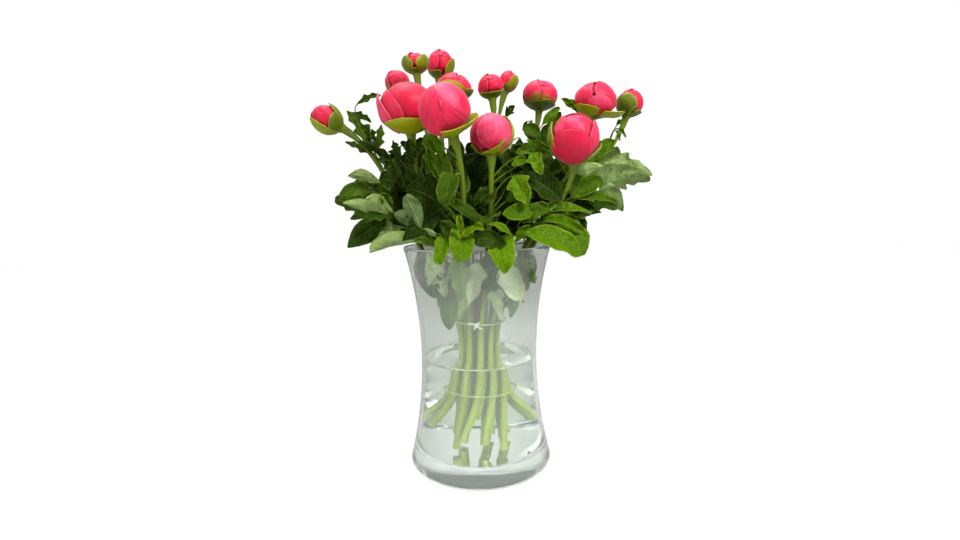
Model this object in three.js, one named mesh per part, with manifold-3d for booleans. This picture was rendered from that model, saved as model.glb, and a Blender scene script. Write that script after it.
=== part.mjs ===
// Fourteen peony buds with their leaves, standing in a flared glass vase half full of water.
// Millimetres, +Z up. The origin is the centre of the vase's foot, on the surface that it stands on,
// and the side seen from the front faces -Y.
import * as THREE from "three";
import { mergeVertices } from "three/addons/utils/BufferGeometryUtils.js";
import Module from "manifold-3d";

const wasm = await Module();
wasm.setup();

// ---- Vase and water ----
const VASE_HEIGHT = 250;
const WAIST_RADIUS = 66; // outside, where the vase is narrowest
const WAIST_HEIGHT = 125;
const FLARE_RADIUS = 480; // the wall's outline is one arc of this radius
const WALL = 4;
const FLOOR = 16; // thickness of the glass under the water
const FOOT_CORNER = 5;
const WELL_CORNER = 10; // rounding between the inside wall and the floor
const WATER_HEIGHT = 123;
const ROUND_SIDES = 24;
const GAP = 0.35; // between pieces that touch

// ---- Stems ----
const STEM_RADIUS = 3.7;
const STEM_SIDES = 5;
const STEM_STEPS = 8;
const OUTER_RING = 24; // circles that the stems stand on between the two ties
const INNER_RING = 10;
const FOOT_SPREAD = 1.6; // how much wider the circle of the cut ends is
const FOOT_HEIGHTS = [22, 34, 26, 40, 30]; // of the cut ends, in turn round the bunch
const TWIST = 12; // degrees that the bunch turns between one knot of its stems' lines and the next
const NECK_HEIGHT = 238; // where the stems pass the mouth of the vase
const NECK_BASE = 20; // how far out a stem is there, beside its share of its bud's own reach
const INNER_NECK_BASE = 8;
const NECK_SHARE = 0.3;
const NECK_TURN = 0.6; // share of the turn from its place in the bunch to its bud that it has made there
const NECK_LIMIT = 58;
const SEAT_PULL = 0.9; // how strongly a stem follows its bud's axis at the end
const HOLE_CLEARANCE = 1.1; // round the stems in the water

// ---- Ties round the bunch ----
const TIE_HEIGHTS = { lower: 86, upper: 165 };
const TIE_THICK = 1.8;
const TIE_SIDES = 14;
const TIE_RADIUS = OUTER_RING + STEM_RADIUS + 3.1; // to the middle of the cord
const KNOT_ASIDE = -2; // the knot is at the front, a little to the left
const KNOT_RADIUS = 2.4;
const KNOT_LIFT = 1.5; // how far the cord's ends stand out
const KNOT_ENDS = [[-9, 3], [4, 3.5], [6, -3.5]]; // how far they reach to the side and up

// ---- Leaves ----
const BLADE = 0.8; // thickness
const STALK_RADIUS = 1.5;
const BARE_SHARE = 0.34; // share of a frond that is bare stalk
const STALK_LAP = 0.04; // share of a frond over which stalk and blade run together
const STALK_BEND = 0.6; // where along the bare stalk its bend is
const FOLD = 0.25; // how steeply the blade rises from its rib
const DROOP = 0.006; // and how strongly it falls away again, per millimetre from the rib

// ---- Buds ----
const PETAL_LIFT = 0.8; // middle of a petal above the bud's egg
const PETAL_SKEW = 0.8; // one side of each petal lies over the next one, the other is tucked under it
const PETAL_WRAP = 212; // degrees from the middle to the side of a petal, shared out among a bud's petals
const PETAL_UP = 62; // degrees from its middle to its tip
const PETAL_DOWN = 60;
const PETAL_LATS = [10, 18]; // of the petals' middles, in turn round the bud
const PETAL_START = 20; // turn of the first one
const CORE_INSET = 2; // how much smaller than the bud its core is
const SEPAL_OFF = 3.8; // inside of the sepals above the bud's surface
const SEPAL_THICK = 0.9;
const CUP_SIDES = 10;
const CUP_BASE = 36; // degrees from the stem to the notches between the sepals
const SEAT_RADIUS = 6.5; // where the stem widens under the sepals
const SEAT_SLOPE = 6;
const SEAT_STEP = 3;
const SEAT_SIDES = 6;
const SEAT_GAP = 3.2; // from the bud's egg to the end of its stem's line

// Each bud: its middle, its radius across and along its axis, the way its tip points, the place of its
// stem in the spiral bunch in degrees, and its petals and sepals. Latitudes run from -90 at the stem to 90
// at the tip, and turns go round the bud's axis.
const BUDS = [
  { name: "left_low", at: [-161, 0, 390], across: 14.8, along: 17, points: [-0.82, -0.25, 0.5],
    slot: 175, foot: [-54, 6, 40], petals: 4, sepals: [[-70, 60, 80], [80, 55, 88], [180, 50, 76]] },
  { name: "left_big", at: [-67.5, -46, 392], across: 25.8, along: 23.8, points: [-0.05, -0.12, 0.99],
    slot: 208, petals: 5, sepals: [[0, 60, 66], [125, 50, 50], [235, 50, 56]],
    guard: [{ lat: 2, turn: -95, wide: 34, up: 50, down: 50, lift: 2 }] },
  { name: "centre_big", at: [-26.6, -98, 379], across: 23.5, along: 23.5, points: [-0.3, -0.36, 0.88],
    slot: 241, petals: 5, sepals: [[50, 46, 78], [165, 53, 60], [285, 48, 48]] },
  { name: "middle", at: [16, -64, 365], across: 18.9, along: 17.9, points: [0, 0.05, 1],
    slot: 273, petals: 5, sepals: [[-10, 65, 66], [105, 53, 92], [235, 53, 70]] },
  { name: "right_open", at: [96, -72, 355.5], across: 22.8, along: 23.4, points: [0.02, -0.2, 0.98],
    slot: 306, petals: 5, sepals: [[-80, 50, 84], [62, 55, 70], [175, 48, 66]],
    guard: [{ lat: -12, turn: 2, wide: 42, up: 42, down: 33, lift: 2 },
            { lat: 18, turn: 78, wide: 34, up: 36, down: 46, lift: 1.8 }] },
  { name: "top_green", at: [-62, -4, 446], across: 13, along: 10.4, points: [-0.1, 0, 1],
    slot: 190, inner: true, petals: 4, sepals: [[-50, 58, 92], [66, 60, 100], [180, 58, 84]] },
  { name: "top_back", at: [-38.6, 42, 457], across: 15, along: 16, points: [0.08, 0, 1],
    slot: 110, petals: 4, sepals: [[80, 55, 96], [200, 53, 80], [310, 48, 60]] },
  { name: "left_behind", at: [-88, 36, 436], across: 14.6, along: 14.2, points: [-0.3, 0, 0.95],
    slot: 142, petals: 4, sepals: [[20, 55, 70], [145, 53, 76], [265, 53, 70]] },
  { name: "behind_centre", at: [-20.6, 0, 422], across: 18.3, along: 13.5, points: [0.22, 0, 0.97],
    slot: 80, inner: true, petals: 4, sepals: [[-10, 60, 84], [105, 53, 80], [225, 53, 76]] },
  { name: "small_mid", at: [18, -12, 419], across: 13.6, along: 12.4, points: [-0.12, 0.02, 0.99],
    slot: 310, inner: true, petals: 4, sepals: [[0, 53, 62], [120, 50, 72], [-110, 50, 80]] },
  { name: "small_back", at: [40, 50, 438.5], across: 10.5, along: 12.2, points: [0.3, 0.05, 0.95],
    slot: 77, petals: 4, sepals: [[60, 60, 98], [-50, 53, 80], [180, 50, 80]] },
  { name: "right_mid", at: [75, 22, 416], across: 19.8, along: 16.2, points: [0.1, 0.03, 0.99],
    slot: 44, petals: 5, sepals: [[-40, 60, 68], [70, 58, 74], [185, 58, 70]] },
  { name: "right_back", at: [129, -12, 402.4], across: 22, along: 18, points: [0.16, -0.08, 0.98],
    slot: 339, petals: 5, sepals: [[-20, 55, 60], [95, 50, 72], [210, 50, 64]] },
  { name: "far_right", at: [178, 26, 406.4], across: 15, along: 15, points: [0.3, 0.02, 0.95],
    slot: 11, foot: [55, -6, 46], petals: 4, sepals: [[-10, 67, 92], [115, 53, 84], [235, 53, 84]] },
];

// Each frond: the bud whose stem it grows on, the height where it leaves that stem, its tip, how far its
// middle arches up, the half width of its middle leaflet, how far its face tips towards the front in
// degrees, and its outline.
const FRONDS = [
  // over the rim at the front, from left to right
  { on: "centre_big", from: 252, tip: [-39, -95, 236], arch: 34, half: 15, face: 0, shape: "oval" },
  { on: "centre_big", from: 262, tip: [-14, -99, 239], arch: 34, half: 15, face: 0, shape: "oval" },
  { on: "middle", from: 250, tip: [27, -98, 227], arch: 38, half: 17, face: 0, shape: "lobed" },
  { on: "right_open", from: 252, tip: [108, -68, 244], arch: 34, half: 24, face: 38, shape: "lobed" },
  // left side
  { on: "left_big", from: 252, tip: [-112, -42, 248], arch: 26, half: 16, face: 40, shape: "lobed" },
  { on: "left_low", from: 256, tip: [-154, -12, 305], arch: 14, half: 23, face: 55 },
  { on: "left_behind", from: 266, tip: [-142, 24, 325], arch: 14, half: 20, face: 40 },
  { on: "left_big", from: 268, tip: [-114, -52, 284], arch: 24, half: 24, face: 55 },
  { on: "left_big", from: 292, tip: [-98, -44, 322], arch: 16, half: 22, face: 70, shape: "lobed" },
  { on: "centre_big", from: 270, tip: [-68, -66, 312], arch: 16, half: 24, face: 70 },
  { on: "left_low", from: 318, tip: [-142, 14, 405], arch: 10, half: 11, face: 50 },
  { on: "top_green", from: 292, tip: [-106, -2, 350], arch: 12, half: 21, face: 60 },
  // middle
  { on: "centre_big", from: 322, tip: [-30, -98, 294], arch: 22, half: 11, face: 20, shape: "oval" },
  { on: "middle", from: 262, tip: [5, -88, 278], arch: 22, half: 17, face: 20, shape: "oval" },
  { on: "small_mid", from: 262, tip: [4, -46, 326], arch: 4, half: 25, face: 80 },
  { on: "middle", from: 282, tip: [57, -72, 302], arch: 16, half: 15, face: 50, shape: "lobed" },
  { on: "behind_centre", from: 262, tip: [-36, -29, 344], arch: 6, half: 17.5, face: 80 },
  // right side
  { on: "right_open", from: 268, tip: [72, -70, 286], arch: 14, half: 17, face: 40, shape: "lobed" },
  { on: "small_mid", from: 296, tip: [56, -40, 352], arch: 12, half: 22, face: 70 },
  { on: "right_back", from: 254, tip: [123, -39, 288], arch: 16, half: 20, face: 50 },
  { on: "far_right", from: 262, tip: [150, -26, 292], arch: 20, half: 21, face: 50 },
  { on: "far_right", from: 300, tip: [196, 6, 322], arch: 16, half: 21, face: 45 },
  { on: "right_back", from: 282, tip: [110, -30, 326], arch: 12, half: 22, face: 65 },
  { on: "right_mid", from: 290, tip: [92, -8, 392], arch: 6, half: 16, face: 70, shape: "lobed" },
  { on: "right_back", from: 306, tip: [148, 4, 362], arch: 10, half: 16, face: 60, shape: "lobed" },
  { on: "small_back", from: 262, tip: [18, 4, 344], arch: 4, half: 18, face: 75 },
  // back
  { on: "right_mid", from: 256, tip: [123, 59, 262], arch: 30, half: 26, face: -30, shape: "lobed" },
  { on: "small_back", from: 254, tip: [35, 118, 248], arch: 36, half: 24, face: 0 },
  { on: "top_back", from: 254, tip: [-76, 95, 257], arch: 36, half: 25, face: 0 },
  { on: "left_behind", from: 252, tip: [-120, 49, 249], arch: 34, half: 24, face: -20 },
  { on: "right_mid", from: 280, tip: [138, 66, 318], arch: 14, half: 24, face: -40 },
  { on: "small_back", from: 290, tip: [84, 84, 330], arch: 16, half: 24, face: -40 },
  { on: "top_back", from: 284, tip: [25, 92, 326], arch: 16, half: 25, face: -40 },
  { on: "left_behind", from: 292, tip: [-62, 98, 336], arch: 14, half: 26, face: -40, shape: "lobed" },
  // pressed in below the rim, seen through the glass
  { on: "middle", from: 186, tip: [24, -56, 238], arch: -4, half: 19, face: 90, shape: "lobed" },
  { on: "centre_big", from: 184, tip: [-36, -50, 238], arch: -4, half: 19, face: 90, shape: "lobed" },
  { on: "right_back", from: 186, tip: [60, -16, 238], arch: -4, half: 17, face: 60, shape: "lobed" },
];

// ---- Geometry helpers ----
const UP = new THREE.Vector3(0, 0, 1);
const radians = THREE.MathUtils.degToRad;
const vector = (p) => new THREE.Vector3(...p);
const around = (radius, degrees, height) =>
  new THREE.Vector3(radius * Math.cos(radians(degrees)), radius * Math.sin(radians(degrees)), height);

function solidFrom(geometry) {
  const bare = geometry.clone();
  bare.deleteAttribute("normal");
  bare.deleteAttribute("uv");
  const merged = mergeVertices(bare, 1e-4);
  return new wasm.Manifold(
    new wasm.Mesh({
      numProp: 3,
      vertProperties: new Float32Array(merged.attributes.position.array),
      triVerts: new Uint32Array(merged.index.array),
    }),
  );
}

function geometryFrom(solid) {
  const mesh = solid.getMesh();
  const geometry = new THREE.BufferGeometry();
  geometry.setAttribute("position", new THREE.BufferAttribute(mesh.vertProperties, mesh.numProp));
  geometry.setIndex(new THREE.BufferAttribute(mesh.triVerts, 1));
  geometry.computeVertexNormals();
  return geometry;
}

const cut = (solid, tools) => tools.reduce((left, tool) => left.subtract(tool), solid);

// Fuses solids into one body; hollows that this seals are filled and loose scraps are dropped.
function fuse(solids) {
  const whole = solids.reduce((all, next) => all.add(next));
  return whole.decompose().reduce((best, part) => (part.volume() > best.volume() ? part : best));
}

// Spins an outline of [radius, height] points round Z.
function turned(outline, sides = ROUND_SIDES) {
  const points = outline.map(([radius, height]) => new THREE.Vector2(radius, height));
  return solidFrom(new THREE.LatheGeometry(points, sides).rotateX(Math.PI / 2));
}

// A closed solid from its vertices and faces.
function faceted(vertices, faces) {
  const geometry = new THREE.BufferGeometry();
  const places = vertices.flatMap((vertex) => vertex.toArray());
  geometry.setAttribute("position", new THREE.Float32BufferAttribute(places, 3));
  geometry.setIndex(faces.flat());
  return solidFrom(geometry);
}

function rod(curve, radius, sides, steps) {
  const corners = Array.from({ length: sides }, (_, k) => {
    const angle = (2 * Math.PI * k) / sides;
    return new THREE.Vector2(radius * Math.cos(angle), radius * Math.sin(angle));
  });
  const options = { steps, bevelEnabled: false, extrudePath: curve };
  return solidFrom(new THREE.ExtrudeGeometry(new THREE.Shape(corners), options));
}

// A thin blade. The outline is a list of [along, across] points down one side, from root to tip, and the
// rib is the places of the points between those two ends. `place` turns such a pair into a point and the
// direction out of the blade. Both faces are split into the same triangles.
function sheet(outline, rib, place, thick) {
  const sides = [1, -1].map((way) => outline.map(([along, across]) => [along, way * across]));
  const flat = [...sides[0], ...sides[1].slice(1, -1), ...rib.map((along) => [along, 0])];
  const last = outline.length - 1;
  const right = outline.map((_, k) => k);
  const left = outline.map((_, k) => (k === 0 || k === last ? k : last + k));
  const spine = rib.map((_, k) => flat.length - 1 - k);
  const faces = [right, left].flatMap((side) => {
    const loop = [...side, ...spine];
    const corners = loop.map((k) => new THREE.Vector2(...flat[k]));
    return THREE.ShapeUtils.triangulateShape(corners, []).map((three) => {
      const face = three.map((k) => loop[k]);
      const area = THREE.ShapeUtils.area(three.map((k) => corners[k]));
      return area < 0 ? face : face.reverse();
    });
  });
  const count = flat.length;
  const placed = flat.map(([along, across]) => place(along, across));
  const vertices = [0.5, -0.5].flatMap((share) =>
    placed.map(({ point, up }) => point.clone().addScaledVector(up, share * thick)));
  faces.push(...faces.map(([a, b, c]) => [a + count, c + count, b + count]));
  const rim = [...right, ...left.slice(1, -1).reverse()];
  rim.forEach((here, k) => {
    const next = rim[(k + 1) % rim.length];
    faces.push([next, here, here + count], [next, here + count, next + count]);
  });
  return faceted(vertices, faces);
}

// ---- Vase and water ----
const outerRadius = (height) =>
  WAIST_RADIUS + FLARE_RADIUS - Math.sqrt(FLARE_RADIUS ** 2 - (height - WAIST_HEIGHT) ** 2);
const innerRadius = (height) => outerRadius(height) - WALL;

// The rounded corner between the floor and the inside wall, as outline points from the floor up.
function wellCorner(inset) {
  const reach = innerRadius(FLOOR + WELL_CORNER) - inset;
  return [0, 45, 90].map((angle) => [
    reach - WELL_CORNER * (1 - Math.sin(radians(angle))),
    FLOOR + inset + WELL_CORNER * (1 - Math.cos(radians(angle))),
  ]);
}

function vaseSolid() {
  const foot = outerRadius(FOOT_CORNER);
  const outside = [[0, 0], [foot - FOOT_CORNER, 0], [foot - 1.3, 1.6], [foot, FOOT_CORNER]]
    .concat([50, 100, 150, 200].map((height) => [outerRadius(height), height]));
  const mouth = outerRadius(VASE_HEIGHT);
  const lip = [
    [mouth, VASE_HEIGHT - WALL / 2],
    [mouth - WALL / 2, VASE_HEIGHT],
    [mouth - WALL, VASE_HEIGHT - WALL / 2],
  ];
  const inside = [200, 150, 100, 50].map((height) => [innerRadius(height), height]);
  return turned([...outside, ...lip, ...inside, ...wellCorner(0).reverse(), [0, FLOOR]]);
}

function waterSolid(stems) {
  const wall = [50, 100, WATER_HEIGHT].map((height) => [innerRadius(height) - GAP, height]);
  const body = turned([[0, FLOOR + GAP], ...wellCorner(GAP), ...wall, [0, WATER_HEIGHT]]);
  const groove = tieRing(TIE_HEIGHTS.lower, TIE_THICK + 3 * GAP);
  const holes = stems.map((stem) => rod(stem.path, STEM_RADIUS + HOLE_CLEARANCE, STEM_SIDES, STEM_STEPS));
  return cut(body, [groove, ...holes]);
}

// ---- Ties ----
function tieRing(height, thick) {
  const circle = new THREE.TorusGeometry(TIE_RADIUS, thick / 2, 4, TIE_SIDES);
  return solidFrom(circle.translate(0, 0, height));
}

function upperTieSolid() {
  const middle = new THREE.Vector3(KNOT_ASIDE, -(TIE_RADIUS + TIE_THICK * 0.7), TIE_HEIGHTS.upper);
  const knot = solidFrom(new THREE.IcosahedronGeometry(KNOT_RADIUS, 0).translate(...middle.toArray()));
  const ends = KNOT_ENDS.map(([x, z]) => {
    const tip = middle.clone().add(new THREE.Vector3(x, -KNOT_LIFT, z));
    return rod(new THREE.LineCurve3(middle, tip), TIE_THICK / 2, 4, 1);
  });
  return fuse([tieRing(TIE_HEIGHTS.upper, TIE_THICK), knot, ...ends]);
}

// ---- Stems ----
// A stem's line: from its cut end above the floor, between the ties and through the vase's mouth to the seat
// of its bud.
function stemOf(bud, index) {
  const middle = vector(bud.at);
  const tipward = vector(bud.points).normalize();
  const seat = middle.clone().addScaledVector(tipward, -(bud.along + SEAT_GAP));
  const azimuth = THREE.MathUtils.radToDeg(Math.atan2(bud.at[1], bud.at[0]));
  const turn = ((azimuth - bud.slot + 540) % 360) - 180;
  const ring = bud.inner ? INNER_RING : OUTER_RING;
  const reach = Math.hypot(bud.at[0], bud.at[1]);
  const neckBase = bud.inner ? INNER_NECK_BASE : NECK_BASE;
  const neckReach = Math.min(NECK_LIMIT, neckBase + NECK_SHARE * reach);
  const footHeight = FOOT_HEIGHTS[index % FOOT_HEIGHTS.length];
  const foot = bud.foot ? vector(bud.foot) : around(ring * FOOT_SPREAD, bud.slot - 2 * TWIST, footHeight);
  const knots = [
    foot,
    around(ring, bud.slot - TWIST / 2, TIE_HEIGHTS.lower),
    around(ring, bud.slot + TWIST / 2, TIE_HEIGHTS.upper),
    around(neckReach, bud.slot + TWIST / 2 + turn * NECK_TURN, NECK_HEIGHT),
    seat,
  ];
  const slopes = knots.map((knot, k) => {
    const before = knots[Math.max(0, k - 1)];
    const after = knots[Math.min(knots.length - 1, k + 1)];
    return after.clone().sub(before).multiplyScalar(k === 0 || k === knots.length - 1 ? 1 : 0.5);
  });
  slopes[4] = tipward.clone().multiplyScalar(seat.distanceTo(knots[3]) * SEAT_PULL);
  const path = new THREE.CurvePath();
  for (let k = 0; k < 4; k += 1) {
    const leaving = knots[k].clone().addScaledVector(slopes[k], 1 / 3);
    const arriving = knots[k + 1].clone().addScaledVector(slopes[k + 1], -1 / 3);
    path.add(new THREE.CubicBezierCurve3(knots[k], leaving, arriving, knots[k + 1]));
  }
  return { bud, path };
}

// The stem itself ends a little short of its line, so that its cut end is clear of the hole in the water.
function stemSolid({ path }) {
  const ahead = path.getTangent(0);
  const trim = path.getPoint(0).dot(ahead) + HOLE_CLEARANCE;
  return rod(path, STEM_RADIUS, STEM_SIDES, STEM_STEPS).trimByPlane(ahead.toArray(), trim);
}

// The point of a stem at a height above the ties, found by halving.
function stemPoint(stem, height) {
  const curve = stem.path.curves[height < NECK_HEIGHT ? 2 : 3];
  let low = 0;
  let high = 1;
  for (let k = 0; k < 24; k += 1) {
    const half = (low + high) / 2;
    if (curve.getPoint(half).z < height) low = half;
    else high = half;
  }
  return curve.getPoint(low);
}

// ---- Buds ----
// The direction at a latitude and turn on a bud that stands tip up; turn 0 faces the front.
const compass = (lat, turn) =>
  new THREE.Vector3(
    Math.cos(radians(lat)) * Math.sin(radians(turn)),
    -Math.cos(radians(lat)) * Math.cos(radians(turn)),
    Math.sin(radians(lat)),
  );

const onBud = (bud, way, height) =>
  way.clone().multiply(new THREE.Vector3(bud.across, bud.across, bud.along)).addScaledVector(way, height);

// A petal: a cap of the egg, closed down to the egg's middle. It reaches `wide` degrees to each side of its
// own middle and `up` and `down` degrees along the egg.
function petal(bud, { lat, turn, wide, up, down, lift, skew = PETAL_SKEW, bearings = 6 }) {
  const middle = compass(lat, turn);
  const east = compass(0, turn + 90);
  const north = east.clone().cross(middle).negate();
  const vertices = [new THREE.Vector3(), onBud(bud, middle, lift)];
  const faces = [];
  for (const share of [0.6, 1])
    for (let k = 0; k < bearings; k += 1) {
      const bearing = (2 * Math.PI * (k + 0.5)) / bearings;
      const along = Math.cos(bearing) / (Math.cos(bearing) > 0 ? up : down);
      const reach = radians(share / Math.hypot(Math.sin(bearing) / wide, along));
      const heading = north.clone().multiplyScalar(Math.cos(bearing));
      heading.addScaledVector(east, Math.sin(bearing));
      const way = middle.clone().multiplyScalar(Math.cos(reach)).addScaledVector(heading, Math.sin(reach));
      vertices.push(onBud(bud, way, lift + skew * share * Math.sin(bearing)));
    }
  for (let k = 0; k < bearings; k += 1) {
    const next = (k + 1) % bearings;
    const [inner, innerNext] = [2 + k, 2 + next];
    const [outer, outerNext] = [inner + bearings, innerNext + bearings];
    faces.push([1, innerNext, inner], [0, outer, outerNext]);
    faces.push([inner, innerNext, outerNext], [inner, outerNext, outer]);
  }
  return faceted(vertices, faces);
}

// Turns a solid from a bud's own frame, tip up, to its place in the bunch.
function inPlace(solid, bud) {
  const turn = new THREE.Quaternion().setFromUnitVectors(UP, vector(bud.points).normalize());
  const matrix = new THREE.Matrix4().compose(vector(bud.at), turn, new THREE.Vector3(1, 1, 1));
  return solid.transform(matrix.toArray());
}

// A bud's petals: a smaller egg, wrapped by petals that each lie over the next, and by any loose guard
// petals.
function petalSolid(bud) {
  const core = new THREE.SphereGeometry(1, 6, 4).rotateX(Math.PI / 2);
  core.scale(bud.across - CORE_INSET, bud.across - CORE_INSET, bud.along - CORE_INSET);
  const wraps = Array.from({ length: bud.petals }, (_, k) =>
    petal(bud, {
      lat: PETAL_LATS[k % 2],
      turn: PETAL_START + (360 * k) / bud.petals,
      wide: PETAL_WRAP / bud.petals,
      up: PETAL_UP,
      down: PETAL_DOWN,
      lift: PETAL_LIFT,
      bearings: bud.petals > 4 ? 7 : 6,
    }));
  const guards = (bud.guard || []).map((loose) => petal(bud, { ...loose, skew: 0, bearings: 7 }));
  return inPlace(fuse([solidFrom(core), ...wraps, ...guards]), bud);
}

// The sepals cup the bud from below, each a lobe of one thin shell. The shell's edge stands at the reach of
// the tallest sepal there, and never lower than the cup's base.
function calyxReach(bud, turn) {
  const lobes = bud.sepals.map(([middle, wide, reach]) => {
    const away = Math.abs(((turn - middle + 540) % 360) - 180) / wide;
    return CUP_BASE + (reach - CUP_BASE) * Math.sqrt(Math.max(0, 1 - away ** 2));
  });
  return Math.max(CUP_BASE, ...lobes);
}

function calyxCup(bud) {
  const tall = Math.max(...bud.sepals.map(([, , reach]) => reach));
  const rows = tall > 88 ? [0.32, 0.6, 0.82, 1] : [0.38, 0.72, 1];
  const vertices = [];
  const faces = [];
  const skin = (height, turnFace) => {
    const start = vertices.length;
    vertices.push(onBud(bud, compass(-90, 0), height));
    for (const share of rows)
      for (let k = 0; k < CUP_SIDES; k += 1) {
        const turn = (360 * k) / CUP_SIDES;
        vertices.push(onBud(bud, compass(-90 + share * calyxReach(bud, turn), turn), height));
      }
    for (let k = 0; k < CUP_SIDES; k += 1) {
      const next = (k + 1) % CUP_SIDES;
      faces.push(turnFace([start, start + 1 + next, start + 1 + k]));
      for (let row = 1; row < rows.length; row += 1) {
        const low = start + 1 + (row - 1) * CUP_SIDES;
        const high = low + CUP_SIDES;
        faces.push(turnFace([low + k, low + next, high + next]), turnFace([low + k, high + next, high + k]));
      }
    }
    return start + 1 + (rows.length - 1) * CUP_SIDES;
  };
  const outer = skin(SEPAL_OFF + SEPAL_THICK, (face) => face);
  const inner = skin(SEPAL_OFF, (face) => face.reverse());
  for (let k = 0; k < CUP_SIDES; k += 1) {
    const next = (k + 1) % CUP_SIDES;
    faces.push([outer + k, outer + next, inner + next], [outer + k, inner + next, inner + k]);
  }
  return faceted(vertices, faces);
}

function calyxSolid(bud) {
  const top = -(bud.along + SEPAL_OFF + SEPAL_THICK * 0.3);
  const rim = top - SEAT_STEP;
  const seat = [[0, rim - SEAT_SLOPE], [SEAT_RADIUS, rim], [SEAT_RADIUS - SEAT_STEP, top], [0, top]];
  const boss = turned(seat, SEAT_SIDES);
  return inPlace(fuse([calyxCup(bud), boss]), bud);
}

// ---- Leaves ----
// Outlines down one side of a blade, as [place along the rib, distance from it in half widths].
const LEAF_SHAPES = {
  three: {
    outline: [[0, 0], [0.1, 1.1], [0.34, 2.1], [0.42, 1.3], [0.32, 0.35], [0.5, 0.85], [0.64, 1], [0.69, 0.6],
      [0.87, 0.45], [1, 0]],
    rib: [0.16, 0.34, 0.64],
  },
  lobed: {
    outline: [[0, 0], [0.12, 0.6], [0.34, 1], [0.44, 0.75], [0.62, 0.95], [0.7, 0.6], [0.88, 0.45], [1, 0]],
    rib: [0.3, 0.6],
  },
  oval: {
    outline: [[0, 0], [0.14, 0.6], [0.4, 1], [0.66, 0.9], [0.88, 0.5], [1, 0]],
    rib: [0.36, 0.7],
  },
};

// A frond: its stalk rises from the stem along a bent line, and its blade carries on along the same line.
function frondSolid(stem, frond) {
  const base = stemPoint(stem, frond.from);
  const tip = vector(frond.tip);
  const crest = base.clone().lerp(tip, 0.5).addScaledVector(UP, frond.arch);
  const line = new THREE.QuadraticBezierCurve3(base, crest, tip);
  const shape = LEAF_SHAPES[frond.shape || "three"];
  const facing = new THREE.Vector3(0, -Math.sin(radians(frond.face)), Math.cos(radians(frond.face)));
  const place = (along, across) => {
    const t = BARE_SHARE + along * (1 - BARE_SHARE);
    const forward = line.getTangent(t);
    const side = forward.clone().cross(facing).normalize();
    const up = side.clone().cross(forward);
    const off = Math.abs(across) * frond.half;
    const point = line.getPoint(t).addScaledVector(side, across * frond.half);
    point.addScaledVector(up, FOLD * off - DROOP * off * off);
    const lean = -Math.sign(across) * (FOLD - 2 * DROOP * off);
    return { point, up: up.clone().addScaledVector(side, across === 0 ? 0 : lean).normalize() };
  };
  const blade = sheet(shape.outline, shape.rib, place, BLADE);
  const bend = line.getPoint(BARE_SHARE * STALK_BEND);
  const end = line.getPoint(BARE_SHARE + STALK_LAP);
  const stalk = rod(new THREE.QuadraticBezierCurve3(base, bend, end), STALK_RADIUS, 3, 2);
  return fuse([blade, stalk]);
}

// ---- Assembly ----
const stems = BUDS.map(stemOf);
const vase = vaseSolid();
const water = waterSolid(stems);
const upperTie = upperTieSolid();
const lowerTie = tieRing(TIE_HEIGHTS.lower, TIE_THICK);
const petals = BUDS.map(petalSolid);
const leafy = stems.map((stem, k) => fuse([stemSolid(stem), calyxSolid(BUDS[k])]));

for (const frond of FRONDS) {
  const own = BUDS.findIndex((bud) => bud.name === frond.on);
  leafy[own] = fuse([leafy[own], frondSolid(stems[own], frond)]);
}

const look = (color, roughness, opacity = 1) =>
  new THREE.MeshStandardMaterial({ color, roughness, metalness: 0, transparent: opacity < 1, opacity });
const looks = {
  glass: look(0xdfe8e4, 0.05, 0.35),
  water: look(0xd5e2dd, 0.02, 0.3),
  cord: look(0xd9e0cf, 0.7),
  leaf: look(0x3f6b22, 0.45),
  petal: look(0xe8375f, 0.55),
};

const peonies = new THREE.Group();
function addNode(name, solid, finish) {
  const mesh = new THREE.Mesh(geometryFrom(solid), finish);
  mesh.name = name;
  peonies.add(mesh);
}

addNode("vase", vase, looks.glass);
addNode("water", water, looks.water);
addNode("tie_upper", upperTie, looks.cord);
addNode("tie_lower", lowerTie, looks.cord);
BUDS.forEach((bud, k) => {
  addNode(`leafy_stem_${bud.name}`, leafy[k], looks.leaf);
  addNode(`bud_${bud.name}`, petals[k], looks.petal);
});

export default peonies;
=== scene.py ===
"""Fourteen peony buds with their leaves, standing in a flared glass vase half full of water."""

import math

import bpy
from mathutils import Matrix, Vector, noise


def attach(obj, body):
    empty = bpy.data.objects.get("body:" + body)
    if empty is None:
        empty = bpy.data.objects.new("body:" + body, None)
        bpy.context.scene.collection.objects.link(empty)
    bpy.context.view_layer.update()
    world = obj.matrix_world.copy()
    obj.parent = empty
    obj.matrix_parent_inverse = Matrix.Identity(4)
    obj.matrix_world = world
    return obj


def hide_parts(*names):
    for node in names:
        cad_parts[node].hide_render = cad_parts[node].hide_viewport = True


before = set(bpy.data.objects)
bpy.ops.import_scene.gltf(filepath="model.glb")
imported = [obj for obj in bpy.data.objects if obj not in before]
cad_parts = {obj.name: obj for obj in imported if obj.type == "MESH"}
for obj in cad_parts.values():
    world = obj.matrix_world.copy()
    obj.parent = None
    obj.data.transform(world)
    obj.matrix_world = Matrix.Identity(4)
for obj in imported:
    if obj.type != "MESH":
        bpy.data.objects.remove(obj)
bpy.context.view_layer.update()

bl_info = {
    "name": "Peonies in a vase",
    "version": (1, 0, 0),
    "blender": (4, 5, 0),
    "location": "3D View > Sidebar > Peonies",
    "description": "Dresses the packed peonies: petals, sepals, leaves, stems, glass and water",
    "category": "Object",
}

MM = 0.001
UP = Vector((0.0, 0.0, 1.0))


def linear(hex_colour):
    """Turns an sRGB hex colour into linear red, green and blue."""
    channels = [int(hex_colour[k:k + 2], 16) / 255 for k in (0, 2, 4)]
    return tuple(c / 12.92 if c <= 0.04045 else ((c + 0.055) / 1.055) ** 2.4 for c in channels)


# ---- Sizes of the bunch, in millimetres and degrees ----

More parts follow.
